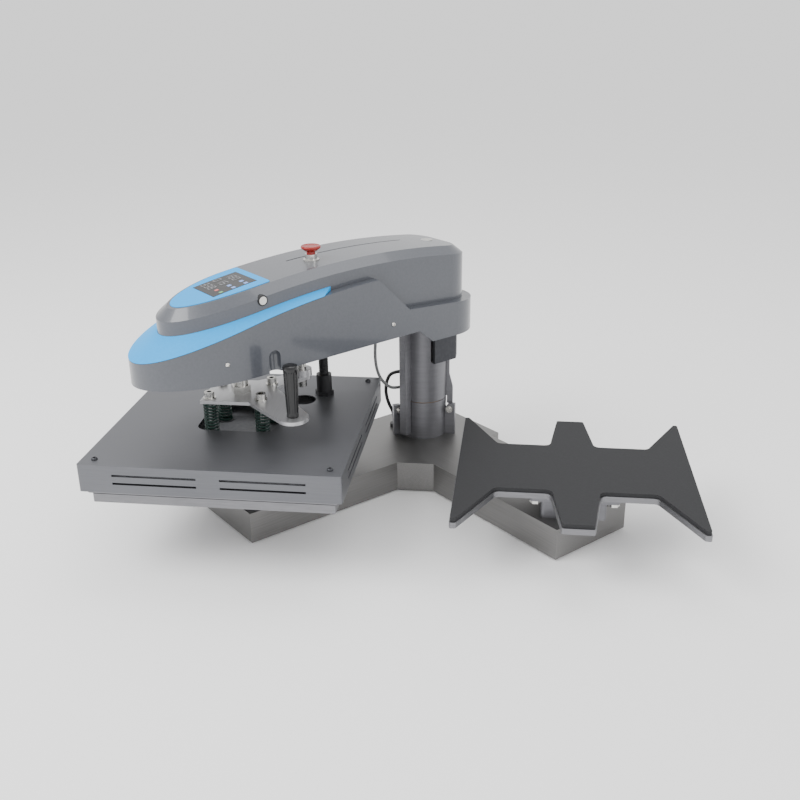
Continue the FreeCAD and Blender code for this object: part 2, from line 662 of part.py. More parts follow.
def make_carriage(boss_top):
    plate = bracket_plate()
    for x, y in spring_points():
        plate = plate.cut(rod(SPRING_BOLT_RADIUS + RUNNING_GAP, BRACKET_BOTTOM - 1, BRACKET_TOP + 1, x, y))
    guide_x, guide_y = head_to_world(PRESS_RADIUS - GUIDE_OFFSET, 0)
    plate = plate.cut(rod(GUIDE_RADIUS, BRACKET_BOTTOM - 1, BRACKET_TOP + 1, guide_x, guide_y))
    plate = plate.cut(rod(8.0, BRACKET_BOTTOM - 1, BRACKET_TOP + 1, -STATION, -STATION))
    handle_x, handle_y = head_to_world(PRESS_RADIUS + HANDLE_SHIFT, HANDLE_REACH)
    plate = plate.cut(rod(4.0, BRACKET_BOTTOM - 1, BRACKET_TOP + 1, handle_x, handle_y))
    save("spring_bracket", plate)

    springs = []
    bolts = []
    washers = []
    for x, y in spring_points():
        springs.append(pipe(SPRING_RADIUS, SPRING_BOLT_RADIUS + 2, boss_top, BRACKET_BOTTOM, x, y))
        washers.append(pipe(11, SPRING_BOLT_RADIUS + RUNNING_GAP, BRACKET_TOP, BRACKET_TOP + 2, x, y))
        bolts.append(cap_screw(x, y, BRACKET_TOP + 2, SPRING_BOLT_RADIUS, 10, BRACKET_TOP + 2 - HEAT_TOP + 3))
    save("die_springs", *springs)
    save("spring_washers", *washers)
    save("spring_bolts", *bolts)

    piston_bottom = CYLINDER_BOTTOM + CYLINDER_CAP + 2
    shaft = rod(8.0, BRACKET_BOTTOM - 14, BRACKET_TOP + 12, -STATION, -STATION)
    shaft = shaft.fuse(rod(ROD_RADIUS, BRACKET_TOP + 12, piston_bottom, -STATION, -STATION))
    piston = rod(CYLINDER_BORE - RUNNING_GAP, piston_bottom, piston_bottom + PISTON_THICK, -STATION, -STATION)
    save("piston_rod", shaft.fuse(piston).removeSplitter())
    nut_top = hexagon(30, BRACKET_TOP, BRACKET_TOP + 12, -STATION, -STATION)
    nut_low = hexagon(24, BRACKET_BOTTOM - 10, BRACKET_BOTTOM, -STATION, -STATION)
    bore = rod(8.0, BRACKET_BOTTOM - 20, BRACKET_TOP + 20, -STATION, -STATION)
    save("rod_nuts", nut_top.cut(bore), nut_low.cut(bore))

    save("guide_rod", rod(GUIDE_RADIUS, BRACKET_BOTTOM - 16, GUIDE_TOP, guide_x, guide_y))
    collar = pipe(18, GUIDE_RADIUS, BRACKET_TOP, BRACKET_TOP + 12, guide_x, guide_y)
    save("guide_rod_collar", collar)

    grip = Part.makeCone(
        HANDLE_BOTTOM_RADIUS, HANDLE_TOP_RADIUS, HANDLE_HEIGHT, V(handle_x, handle_y, BRACKET_TOP), UP
    )
    grip = grip.makeFillet(2.0, [edge for edge in grip.Edges if edge.BoundBox.ZMin > BRACKET_TOP + 50])
    save("pull_handle", grip.cut(rod(4.0, BRACKET_TOP - 1, BRACKET_TOP + 30, handle_x, handle_y)))
    screw = rod(4.0, BRACKET_BOTTOM, BRACKET_TOP + 28, handle_x, handle_y)
    head = rod(7, BRACKET_BOTTOM - 5, BRACKET_BOTTOM, handle_x, handle_y)
    save("handle_screw", screw.fuse(head).removeSplitter())


# ---------- head structure ----------
def make_swing_column():
    tube = pipe(TUBE_RADIUS, TUBE_RADIUS - TUBE_WALL, TUBE_BOTTOM, TUBE_TOP)
    tube = tube.cut(turned(box(30, 60, -4, 4, BLOCK_BOTTOM + 2, TUBE_TOP - 15), SLOT_ANGLE))
    cable_entry = rod_along(CABLE_RADIUS + ENTRY_GAP, (30, 0, CABLE_ROUTE[-1][2]), (1, 0, 0), 30)
    cable_angle = math.degrees(math.atan2(CABLE_ROUTE[-1][1], CABLE_ROUTE[-1][0]))
    tube = tube.cut(turned(cable_entry, cable_angle - HEAD_REST_ANGLE))
    air_u, air_v, air_z = AIR_ROUTE[-1]
    air_entry = rod_along(AIR_RADIUS + ENTRY_GAP, (30, 0, air_z), (1, 0, 0), 30)
    tube = tube.cut(turned(air_entry, math.degrees(math.atan2(air_v, air_u))))
    flange = pipe(TUBE_RADIUS + 8, TUBE_RADIUS - TUBE_WALL, TUBE_TOP, BEAM_BOTTOM)
    web = turned(column_web(), WEB_ANGLE - HEAD_REST_ANGLE)
    save("swing_tube", on_head(tube.fuse(flange).fuse(web).removeSplitter()))

    bushes = []
    for z0 in (TUBE_BOTTOM, TUBE_TOP - BUSH_LENGTH):
        bushes.append(pipe(TUBE_RADIUS - TUBE_WALL, POST_RADIUS + RUNNING_GAP, z0, z0 + BUSH_LENGTH))
    save("swing_bushes", *bushes)

    inner = COLLAR_RADIUS + FIN_CLEAR
    fin = box(TUBE_RADIUS - 4, FIN_OUTER, -FIN_HALF_THICK, FIN_HALF_THICK, TUBE_BOTTOM + 4, TUBE_TOP - 10)
    fin = fin.fuse(box(inner, FIN_OUTER, -FIN_HALF_THICK, FIN_HALF_THICK, FIN_BOTTOM, TUBE_BOTTOM + 4))
    fin = fin.cut(rod(TUBE_RADIUS, TUBE_BOTTOM - 1, TUBE_TOP)).removeSplitter()
    save("stop_bar", on_head(turned(fin, FIN_OFFSET)))


def column_web():
    """Thin stiffening web welded on the outer side of the swing tube, under the clamp block."""
    web = Part.Face(
        Part.makePolygon(
            [
                V(TUBE_RADIUS - 6, -4, TUBE_BOTTOM),
                V(COLLAR_RADIUS + FIN_CLEAR, -4, TUBE_BOTTOM),
                V(COLLAR_RADIUS + FIN_CLEAR, -4, WEB_BOTTOM),
                V(TUBE_RADIUS + 13, -4, WEB_BOTTOM),
                V(TUBE_RADIUS + 13, -4, TUBE_BOTTOM + 18),
                V(TUBE_RADIUS + 6, -4, TUBE_BOTTOM + 46),
                V(TUBE_RADIUS + 6, -4, BLOCK_BOTTOM),
                V(TUBE_RADIUS - 6, -4, BLOCK_BOTTOM),
                V(TUBE_RADIUS - 6, -4, TUBE_BOTTOM),
            ]
        )
    ).extrude(V(0, 8, 0))
    return web.cut(rod(TUBE_RADIUS - 1.0, TUBE_BOTTOM - 1, TUBE_TOP))


def make_head_block():
    half = BLOCK_HALF_WIDTH
    chamfer = BLOCK_CHAMFER
    outline = [
        (BLOCK_FRONT, -half),
        (BLOCK_FRONT, half),
        (BLOCK_BACK + chamfer, half),
        (BLOCK_BACK, half - chamfer),
        (BLOCK_BACK, -half + chamfer),
        (BLOCK_BACK + chamfer, -half),
    ]
    block = prism(outline, BLOCK_BOTTOM, TUBE_TOP).cut(rod(TUBE_RADIUS, 0, 400))
    save("head_clamp_block", on_head(block))


def lower_half_width(u):
    """Half-width of the lower shell's outline at u."""
    past = max(0.0, u - (SHELL_TIP - SHELL_NOSE))
    return SHELL_HALF * math.sqrt(1.0 - (past / SHELL_NOSE) ** 2)


def make_beam():
    half = BEAM_HALF_WIDTH
    base = box(BEAM_REAR, BEAM_FRONT, -half, half, BEAM_BOTTOM, BEAM_BOTTOM + BEAM_PLATE)
    side = box(BEAM_REAR, BEAM_FRONT, half - 5, half, BEAM_BOTTOM, BEAM_BOTTOM + 45)
    beam = base.fuse(side).fuse(side.mirror(V(0, 0, 0), V(0, 1, 0)))
    for u in SHELL_SCREW_U:
        reach = lower_half_width(u + TAB_HALF) - SHELL_WALL - JOIN_GAP
        low = SHELL_SCREW_Z - TAB_HALF
        tab = box(u - TAB_HALF, u + TAB_HALF, -reach, reach, low, low + 2 * TAB_HALF)
        hollow_half = reach - TAB_THICK
        hollow_top = low + 2 * TAB_HALF - TAB_THICK
        hollow = box(u - TAB_HALF - 1, u + TAB_HALF + 1, -hollow_half, hollow_half, low - 1, hollow_top)
        inside = box(u - 30, u + 30, -BEAM_HALF_WIDTH + 5, BEAM_HALF_WIDTH - 5, low - 1, low + 40)
        beam = beam.fuse(tab.cut(hollow).cut(inside))
        for side in (-1, 1):
            start = (u, side * 120, SHELL_SCREW_Z)
            hole = rod_along(SHELL_SCREW_RADIUS, start, (0, -side, 0), 118 - BEAM_HALF_WIDTH)
            beam = beam.cut(hole)
    beam = beam.removeSplitter()
    beam = beam.cut(rod(POST_RADIUS + 3, 300, 400))
    beam = beam.cut(rod(ROD_RADIUS + 4, 300, 400, PRESS_RADIUS, 0))
    beam = beam.cut(rod(GUIDE_RADIUS + 6, 300, 400, PRESS_RADIUS - GUIDE_OFFSET, 0))
    beam = beam.cut(rod(CONDUIT_RADIUS + 3, 300, 400, GLAND_U, 0))
    beam = beam.cut(rod(5, 300, 400, AIR_ROUTE[0][0], AIR_ROUTE[0][1]))
    save("head_beam", on_head(beam))
    inner = GUIDE_RADIUS + RUNNING_GAP
    guide_u = PRESS_RADIUS - GUIDE_OFFSET
    bush = pipe(GUIDE_RADIUS + 6, inner, BEAM_BOTTOM - 4, BEAM_BOTTOM + 36, guide_u)
    save("guide_bush", on_head(bush))


def make_cylinder():
    half = CYLINDER_HALF
    body = box(PRESS_RADIUS - half, PRESS_RADIUS + half, -half, half, CYLINDER_BOTTOM, CYLINDER_TOP)
    body = round_uprights(body, 10.0)
    bore_foot = CYLINDER_BOTTOM + CYLINDER_CAP
    body = body.cut(rod(CYLINDER_BORE, bore_foot, CYLINDER_TOP - CYLINDER_CAP, PRESS_RADIUS, 0))
    body = body.cut(rod(ROD_RADIUS + RUNNING_GAP, CYLINDER_BOTTOM - 1, CYLINDER_BOTTOM + 30, PRESS_RADIUS, 0))
    spacer = pipe(30, ROD_RADIUS + 3, BEAM_BOTTOM + BEAM_PLATE, CYLINDER_BOTTOM, PRESS_RADIUS, 0)
    save("air_cylinder", on_head(body.fuse(spacer).removeSplitter()))
    valve = box(160, 215, -20, 20, BEAM_BOTTOM + BEAM_PLATE, BEAM_BOTTOM + BEAM_PLATE + 34)
    save("solenoid_valve", on_head(valve))
    relay = box(90, 140, 4, 44, BEAM_BOTTOM + BEAM_PLATE, BEAM_BOTTOM + BEAM_PLATE + 26)
    save("heater_relay", on_head(relay))


# ---------- head shells ----------
def plan_outline(half, tip, nose, rear, corner):
    """Face at z = 0: round rear corners, straight sides, half-ellipse nose."""
    centre = tip - nose
    ellipse = Part.Ellipse(V(tip, 0, 0), V(centre, half, 0), V(centre, 0, 0))
    nose_edge = ellipse.toShape(-math.pi / 2, math.pi / 2)
    mid = corner * math.sqrt(0.5)
    left = Part.LineSegment(V(centre, half, 0), V(rear + corner, half, 0)).toShape()
    right = Part.LineSegment(V(rear + corner, -half, 0), V(centre, -half, 0)).toShape()
    back = Part.LineSegment(V(rear, half - corner, 0), V(rear, -half + corner, 0)).toShape()
    arcs = []
    for side in (1, -1):
        arcs.append(
            Part.Arc(
                V(rear + corner, side * half, 0),
                V(rear + corner - mid, side * (half - corner + mid), 0),
                V(rear, side * (half - corner), 0),
            ).toShape()
        )
    return Part.Face(Part.Wire(Part.__sortEdges__([nose_edge, left, arcs[0], back, arcs[1], right])))


def plan_prism(inset, half, tip, nose, rear, corner):
    face = plan_outline(half - inset, tip - inset, nose - inset, rear + inset, corner - inset)
    face.translate(V(0, 0, 200))
    return face.extrude(V(0, 0, 320))


def lower_prism(inset):
    return plan_prism(inset, SHELL_HALF, SHELL_TIP, SHELL_NOSE, SHELL_REAR, SHELL_REAR_RADIUS)


def upper_prism(inset):
    return plan_prism(inset, UPPER_HALF, UPPER_TIP, UPPER_NOSE, UPPER_REAR, UPPER_REAR_RADIUS)


def ledge_height(u):
    return LEDGE_PEAK_Z - LEDGE_CURVE * (u - LEDGE_PEAK_U) ** 2


def base_height(u):
    return BASE_PEAK_Z - BASE_CURVE * (u - LEDGE_PEAK_U) ** 2


def top_height(u):
    return TOP_PEAK_Z - TOP_RADIUS + math.sqrt(TOP_RADIUS ** 2 - (u - TOP_PEAK_U) ** 2)


def top_drum(lift):
    """Solid under the arc of the head's top, raised by lift."""
    centre = V(TOP_PEAK_U, -200, TOP_PEAK_Z - TOP_RADIUS)
    drum = Part.makeCylinder(TOP_RADIUS + lift, 400, centre, V(0, 1, 0))
    return drum.common(box(SHELL_REAR - 40, SHELL_TIP + 40, -200, 200, SHELL_REAR_BOTTOM - 40, 600))


def curve_edge(height, u0, u1, lift):
    """The part of a parabola z = height(u) between u0 and u1, as one exact curve in the y = -150 plane."""
    step = 0.01 if u1 > u0 else -0.01
    slope = (height(u0 + step) - height(u0)) / step
    z0 = height(u0) + lift
    z1 = height(u1) + lift
    curve = Part.BezierCurve()
    curve.setPoles([V(u0, -150, z0), V((u0 + u1) / 2, -150, z0 + slope * (u1 - u0) / 2), V(u1, -150, z1)])
    return curve.toShape()


def side_profile(edges):
    return Part.Face(Part.Wire(edges)).extrude(V(0, 300, 0))


def polyline(points):
    corners = [V(u, -150, z) for u, z in points]
    return [Part.LineSegment(a, b).toShape() for a, b in zip(corners, corners[1:])]


def ledge_edges(lift):
    """The lower shell's top line from the nose to the rear."""
    drop = ledge_height(LEDGE_DROP_TOP) + lift
    rear = LEDGE_REAR_Z - 13.0 + lift
    edges = [curve_edge(ledge_height, SHELL_TIP + 20, LEDGE_DROP_TOP, lift)]
    foot = LEDGE_REAR_Z + lift
    edges += polyline([(LEDGE_DROP_TOP, drop), (LEDGE_DROP_FOOT, foot), (SHELL_REAR - 20, rear)])
    return edges


def lower_profile(bottom_lift, top_lift):
    edges = ledge_edges(top_lift)
    front = edges[0].Vertexes[0].Point
    back = edges[-1].Vertexes[-1].Point
    bottom = SHELL_BOTTOM + bottom_lift
    rear_bottom = SHELL_REAR_BOTTOM + bottom_lift
    edges += polyline(
        [
            (back.x, back.z),
            (back.x, rear_bottom),
            (56, rear_bottom),
            (88, bottom),
            (front.x, SHELL_NOSE_BOTTOM + bottom_lift),
            (front.x, front.z),
        ]
    )
    return side_profile(edges)


def crown(inset, drop):
    """Upper tier's outline under the top arc, drawn inset at the sides and lowered on top."""
    return upper_prism(inset).common(top_drum(-drop))


def pocket(centre, radius):
    """Upright round bar with a ball on top, ending below the shell's lower edge."""
    bar = rod(radius, SHELL_NOSE_BOTTOM - 10, centre.z, centre.x, centre.y)
    return bar.fuse(Part.makeSphere(radius, centre)).removeSplitter()


def make_lower_shell():
    shell = lower_prism(0).common(lower_profile(0, 0))
    shell = shell.cut(lower_prism(SHELL_WALL).common(lower_profile(-20, -SHELL_WALL)))
    shell = shell.cut(upper_prism(-JOIN_GAP).common(lower_profile(-60, 200)))
    for side in (-1, 1):
        centre = V(NICHE_U, side * SHELL_HALF, NICHE_TOP)
        niche = pocket(centre, NICHE_RADIUS)
        skin = pocket(centre, NICHE_RADIUS + SHELL_WALL)
        shell = shell.fuse(skin.common(lower_prism(0)).common(lower_profile(0, 0))).cut(niche)
        for u in SHELL_SCREW_U:
            start = (u, side * (SHELL_HALF - 20), SHELL_SCREW_Z)
            shell = shell.cut(rod_along(SHELL_SCREW_RADIUS, start, (0, side, 0), 40))
    save("lower_shell", on_head(shell.removeSplitter()))


def bevel_top(solid):
    """Cut the sloping band all round the top surface, leaving the seams that run across it."""
    edges = []
    for edge in solid.Edges:
        across = edge.BoundBox.XLength < 1.0 and edge.BoundBox.YLength > UPPER_HALF
        if edge.BoundBox.ZMin > top_height(UPPER_TIP) - 1.0 and not across:
            edges.append(edge)
    return solid.makeChamfer(TOP_BAND_DROP, TOP_BAND_WIDTH, edges)


def panel_prism(inset):
    face = plan_outline(PANEL_HALF - inset, PANEL_TIP - inset, PANEL_NOSE, PANEL_REAR + inset, 6.0)
    face.translate(V(0, 0, 400))
    return face.extrude(V(0, 0, 100))


def skin_band(low, high):
    """Slab that follows the top surface between two offsets from it."""
    return top_drum(high).cut(top_drum(low))


def estop_seat():
    """Height of the flat spot-face that the stop button's bezel sits on."""
    return top_height(ESTOP_U) - 0.6


def plug_seat():
    return top_height(PLUG_U) - 1.2


def make_upper_shell():
    shell = bevel_top(crown(0, 0))
    shell = shell.cut(crown(SHELL_WALL, TOP_BAND_DROP)).cut(crown(TOP_BAND_WIDTH, SHELL_WALL))
    groove = box(GROOVE_REAR, GROOVE_FRONT, GROOVE_V - GROOVE_HALF, GROOVE_V + GROOVE_HALF, 400, 480)
    shell = shell.cut(round_uprights(groove, GROOVE_HALF - 0.1).common(skin_band(-GROOVE_DEPTH, 20)))
    shell = shell.cut(lower_profile(-100, -SHELL_WALL))
    shell = shell.cut(panel_prism(-JOIN_GAP).common(skin_band(-PANEL_SEAT, 20)))
    opening = box(DISPLAY_REAR, DISPLAY_FRONT, -DISPLAY_HALF, DISPLAY_HALF, 400, 480)
    shell = shell.cut(opening)
    shell = shell.cut(rod(11, 400, 480, ESTOP_U, ESTOP_V))
    shell = shell.cut(rod(14 + JOIN_GAP, estop_seat(), 480, ESTOP_U, ESTOP_V))
    shell = shell.cut(rod(6, 400, 480, PLUG_U, 0))
    shell = shell.cut(rod(PLUG_RADIUS + JOIN_GAP, plug_seat(), 480, PLUG_U, 0))
    shell = shell.cut(rod_along(BUTTON_RADIUS + 1.2, (BUTTON_U, UPPER_HALF - 20, BUTTON_Z), (0, 1, 0), 32))
    save("upper_shell", on_head(shell.removeSplitter()))


def make_panel():
    panel = panel_prism(0).common(skin_band(-PANEL_SEAT, PANEL_PROUD))
    opening = box(DISPLAY_REAR, DISPLAY_FRONT, -DISPLAY_HALF, DISPLAY_HALF, 400, 480)
    save("console_panel", on_head(panel.cut(opening)))
    gap = JOIN_GAP
    inside = box(DISPLAY_REAR + gap, DISPLAY_FRONT - gap, -DISPLAY_HALF + gap, DISPLAY_HALF - gap, 400, 480)
    save("display_window", on_head(inside.common(skin_band(-PANEL_SEAT, PANEL_PROUD + 0.2))))


def trim_points(half, tip, nose, height, rear):
    """Points round the nose from one side to the other, TRIM_GAP above a height rule."""
    centre = tip - nose
    points = []
    for i in range(6):
        u = rear + (centre - rear) * i / 6
        points.append(V(u, half, height(u) + TRIM_GAP))
    for i in range(25):
        angle = math.pi / 2 - math.pi * i / 24
        u = centre + nose * math.cos(angle)
        points.append(V(u, half * math.sin(angle), height(u) + TRIM_GAP))
    mirrored = [V(p.x, -p.y, p.z) for p in reversed(points[:6])]
    return points + mirrored


def smooth_edge(points):
    curve = Part.BSplineCurve()
    curve.interpolate(points)
    return curve.toShape()


def make_trim():
    """Sloping band round the nose, from the lower shell's edge up to the upper shell's wall."""
    inner = UPPER_HALF + 2 * JOIN_GAP
    tip = UPPER_TIP + 2 * JOIN_GAP
    nose = UPPER_NOSE + 2 * JOIN_GAP
    low_points = trim_points(SHELL_HALF, SHELL_TIP, SHELL_NOSE, ledge_height, TRIM_REAR + TRIM_TAPER)
    high_points = trim_points(inner, tip, nose, base_height, TRIM_REAR)
    inside_points = trim_points(inner, tip, nose, ledge_height, TRIM_REAR)
    edges = [smooth_edge(points) for points in (low_points, high_points, inside_points)]
    faces = [Part.makeRuledSurface(a, b) for a, b in zip(edges, edges[1:] + edges[:1])]
    for end in (0, -1):
        corners = [edge.Vertexes[end].Point for edge in edges]
        faces.append(Part.Face(Part.makePolygon(corners + corners[:1])))
    shell = Part.Shell(faces)
    shell.sewShape()
    solid = Part.Solid(Part.Shell(shell.Faces))
    if solid.Volume < 0:
        solid.reverse()
    save("ledge_trim", on_head(solid))


def make_controls():
    top = estop_seat()
    neck_top = top + ESTOP_NECK
    flange = pipe(14, 8, top, top + 3, ESTOP_U, ESTOP_V)
    housing = flange.fuse(pipe(10.5, 8, top - 32, neck_top, ESTOP_U, ESTOP_V))
    save("estop_housing", on_head(housing.removeSplitter()))
    brim = neck_top + ESTOP_TRAVEL + 0.5
    stem = rod(8 - RUNNING_GAP, top - 20, brim + 1, ESTOP_U, ESTOP_V)
    mushroom = Part.makeCone(11, ESTOP_RADIUS, 5, V(ESTOP_U, ESTOP_V, brim), UP)
    mushroom = mushroom.fuse(rod(ESTOP_RADIUS, brim + 5, brim + 10, ESTOP_U, ESTOP_V))
    mushroom = mushroom.makeFillet(3.0, [e for e in mushroom.Edges if e.BoundBox.ZMin > brim + 9])
    save("estop_button", on_head(stem.fuse(mushroom).removeSplitter()))

    ring = rod_along(BUTTON_RADIUS + 0.9, (BUTTON_U, UPPER_HALF - 16, BUTTON_Z), (0, 1, 0), 17.4)
    bore = rod_along(BUTTON_RADIUS - 1.2, (BUTTON_U, UPPER_HALF - 12, BUTTON_Z), (0, 1, 0), 20)
    save("start_button_ring", on_head(ring.cut(bore)))
    face_radius = BUTTON_RADIUS - 1.2 - RUNNING_GAP
    press = rod_along(face_radius, (BUTTON_U, UPPER_HALF - 9, BUTTON_Z), (0, 1, 0), 10.6)
    save("start_button", on_head(press))

    board = box(DISPLAY_REAR - 6, DISPLAY_FRONT - 4, -DISPLAY_HALF - 6, DISPLAY_HALF + 6, 0, 2)
    board.rotate(V(DISPLAY_REAR, 0, 0), V(0, 1, 0), 12.0)
    board.translate(V(0, 0, top_height(DISPLAY_REAR) - 12))
    save("control_board", on_head(board))
    screws = []
    for side in (-1, 1):
        for u in SHELL_SCREW_U:
            surface = lower_half_width(u)
            shank = rod_along(SHELL_SCREW_RADIUS, (u, side * (surface - 7), SHELL_SCREW_Z), (0, side, 0), 8)
            start = (u, side * (surface + 0.8), SHELL_SCREW_Z)
            head = rod_along(2 * SHELL_SCREW_RADIUS, start, (0, side, 0), 2.2)
            screws.append(on_head(shank.fuse(head).removeSplitter()))
    save("shell_screws", *screws)
    seat = plug_seat()
    plug = rod(6 - JOIN_GAP, seat - 5, seat, PLUG_U).fuse(rod(PLUG_RADIUS, seat, seat + 2.0, PLUG_U))
    save("top_plug", on_head(plug.removeSplitter()))


# ---------- cables and tubes ----------
def routed_tube(name, radius, route):
    """Tube along straight runs joined by tangent arcs, each as large as its two runs allow."""
    points = [V(*point) for point in route]
    edges = []
    radii = []
    start = points[0]
    for before, corner, after in zip(points, points[1:], points[2:]):
        incoming = (before - corner).normalize()
        outgoing = (after - corner).normalize()
        turn = math.pi - incoming.getAngle(outgoing)
        reach = 0.45 * min((before - corner).Length, (after - corner).Length)
        bend = reach / math.tan(turn / 2)
        first = corner + incoming * reach
        last = corner + outgoing * reach
        centre = corner + (incoming + outgoing).normalize() * (bend / math.cos(turn / 2))
        middle = centre + (corner - centre).normalize() * bend
        edges.append(Part.LineSegment(start, first).toShape())
        edges.append(Part.Arc(first, middle, last).toShape())
        radii.append(round(bend, 1))
        start = last
    edges.append(Part.LineSegment(start, points[-1]).toShape())
    path = Part.Wire(edges)
    section = Part.Wire(Part.makeCircle(radius, points[0], points[1] - points[0]))
    tube = path.makePipeShell([section], True, True)
    ratio = tube.Volume / (math.pi * radius ** 2 * path.Length)
    print(name, "radii", radii, "length", round(path.Length, 1), "volume ratio", round(ratio, 4))
    return tube


def make_cables():
    save("column_cable", routed_tube("column_cable", CABLE_RADIUS, CABLE_ROUTE))
    exit_x, exit_y = CABLE_EXIT
    gland = rod(GLAND_SHANK - JOIN_GAP, CHASSIS_TOP - 8, CHASSIS_TOP, exit_x, exit_y)
    gland = gland.fuse(rod(9, CHASSIS_TOP, CABLE_ROUTE[0][2], exit_x, exit_y))
    bore = rod(CABLE_RADIUS, CHASSIS_TOP - 9, CABLE_ROUTE[0][2] - 2, exit_x, exit_y)
    save("column_cable_gland", gland.cut(bore))

    save("air_tube", on_head(routed_tube("air_tube", AIR_RADIUS, AIR_ROUTE)))
    u, v, z = AIR_ROUTE[0]
    shank = rod(4.8, BEAM_BOTTOM, BEAM_BOTTOM + BEAM_PLATE + 6, u, v)
    fitting = hexagon(12, z, BEAM_BOTTOM, u, v).fuse(shank)
    save("air_tube_fitting", on_head(fitting.removeSplitter()))

    gland_x, gland_y = head_to_world(GLAND_U, 0)
    save("heater_conduit", rod(CONDUIT_RADIUS, COVER_TOP + 2, CONDUIT_TOP, gland_x, gland_y))


def main():
    os.makedirs("parts", exist_ok=True)
    make_chassis()
    make_column()
    make_end_stops()
    make_stations()
    boss_top = make_heating_plate()
    make_cover()
    make_carriage(boss_top)
    make_swing_column()
    make_head_block()
    make_beam()
    make_cylinder()
    make_lower_shell()
    make_upper_shell()
    make_panel()
    make_trim()
    make_controls()
    make_cables()


main()
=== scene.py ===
# %% [markdown]
# # A swing-away heat press, made ready to look at
#
# The press was designed in CAD: every plate, rod and cover already has its true size and place.
# This lesson loads that model, gives each part the finish it has on the real machine, and adds
# the small things that a CAD solid leaves out: coil springs with real coils, a fluted handle,
# a ribbed cable conduit, two flexible lines, and the marks on the control panel.

# %% Load the machine
import math

import bpy
import bmesh
from mathutils import Matrix, Vector


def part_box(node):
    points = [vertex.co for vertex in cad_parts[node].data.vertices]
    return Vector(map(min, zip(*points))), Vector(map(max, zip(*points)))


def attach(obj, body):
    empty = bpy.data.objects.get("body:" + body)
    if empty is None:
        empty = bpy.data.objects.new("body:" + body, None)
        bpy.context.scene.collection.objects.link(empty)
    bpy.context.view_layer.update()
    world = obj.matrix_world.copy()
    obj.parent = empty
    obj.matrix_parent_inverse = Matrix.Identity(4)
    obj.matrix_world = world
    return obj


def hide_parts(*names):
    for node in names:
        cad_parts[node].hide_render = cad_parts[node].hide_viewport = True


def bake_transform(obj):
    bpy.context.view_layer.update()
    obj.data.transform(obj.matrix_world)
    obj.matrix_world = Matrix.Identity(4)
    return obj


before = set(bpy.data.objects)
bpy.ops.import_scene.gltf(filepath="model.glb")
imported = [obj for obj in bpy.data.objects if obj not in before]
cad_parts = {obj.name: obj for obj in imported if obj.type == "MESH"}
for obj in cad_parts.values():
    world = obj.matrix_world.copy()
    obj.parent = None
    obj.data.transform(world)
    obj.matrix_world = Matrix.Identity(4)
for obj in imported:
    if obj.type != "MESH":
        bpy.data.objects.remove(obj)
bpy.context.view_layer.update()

# %% [markdown]
# The arm, or head, of the press points forward and to the left, at 225 degrees. It is easier to
# think along the head than along the table, so one helper turns head places into table places:
# u runs from the column to the nose, v runs to the head's left side, and z is up. All three are
# given in millimetres, because that is how a machine like this is measured.

# %% Head places to table places
MM = 0.001
HEAD_TURN = math.radians(225.0)
PRESS_U = 409.0


def on_head(u, v, z):
    """A place along the head, in millimetres, as a point in the scene, in metres."""
    x = u * math.cos(HEAD_TURN) - v * math.sin(HEAD_TURN)
    y = u * math.sin(HEAD_TURN) + v * math.cos(HEAD_TURN)
    return Vector((x, y, z)) * MM


def middle(node):
    """Centre of a CAD part's box, and its lowest and highest z."""
    low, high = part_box(node)
    return (low.x + high.x) / 2, (low.y + high.y) / 2, low.z, high.z


print("the plate's centre is at", on_head(PRESS_U, 0, 0)[:])

# %% [markdown]
# The camera stands where a buyer would, in front of the machine and a little above it. It is
# made before anything else, so that each new piece can be looked at straight away. Its lens is
# a fairly long one, which keeps the long head from looking stretched.

# %% Camera
CAMERA_PLACE = Vector((0.1875, -1.8203, 0.8787))
CAMERA_YAW = math.radians(-7.38)
CAMERA_PITCH = math.radians(22.36)
CAMERA_ROLL = math.radians(-0.69)
CAMERA_LENS = 43.93

forward = Vector((
    math.sin(CAMERA_YAW) * math.cos(CAMERA_PITCH),
    math.cos(CAMERA_YAW) * math.cos(CAMERA_PITCH),
    -math.sin(CAMERA_PITCH),
))
level = Vector((math.cos(CAMERA_YAW), -math.sin(CAMERA_YAW), 0.0))
upward = level.cross(forward)
right = math.cos(CAMERA_ROLL) * level + math.sin(CAMERA_ROLL) * upward
top = -math.sin(CAMERA_ROLL) * level + math.cos(CAMERA_ROLL) * upward
camera = bpy.data.objects.new("camera", bpy.data.cameras.new("camera"))
camera.data.lens = CAMERA_LENS
camera.data.sensor_width = 36.0
camera.matrix_world = Matrix.Translation(CAMERA_PLACE) @ Matrix((right, top, -forward)).transposed().to_4x4()
bpy.context.scene.collection.objects.link(camera)
bpy.context.scene.camera = camera
print("camera", camera.location[:])

# %% [markdown]
# Materials are small networks of nodes. Each one starts from what the real surface is: its
# colour, whether it is metal, how rough it is, and what pattern its making left on it. One
# helper adds a node, sets its inputs and joins its wires, and one turns a colour written as a
# web hex value into the linear light that the renderer works in.

# %% Helpers for node networks
def linear(text, alpha=1.0):
    """An sRGB hex colour as linear red, green, blue and alpha."""
    parts = [int(text[i:i + 2], 16) / 255 for i in (1, 3, 5)]
    return tuple(c / 12.92 if c <= 0.04045 else ((c + 0.055) / 1.055) ** 2.4 for c in parts) + (alpha,)


def add(tree, kind, inputs=(), **settings):
    """A new node. An input is given by its name or number, and is a value or another node's output."""
    node = tree.nodes.new(kind)
    for name, value in settings.items():
        setattr(node, name, value)
    for name, value in dict(inputs).items():
        if isinstance(value, bpy.types.NodeSocket):
            tree.links.new(value, node.inputs[name])
        else:
            node.inputs[name].default_value = value
    return node


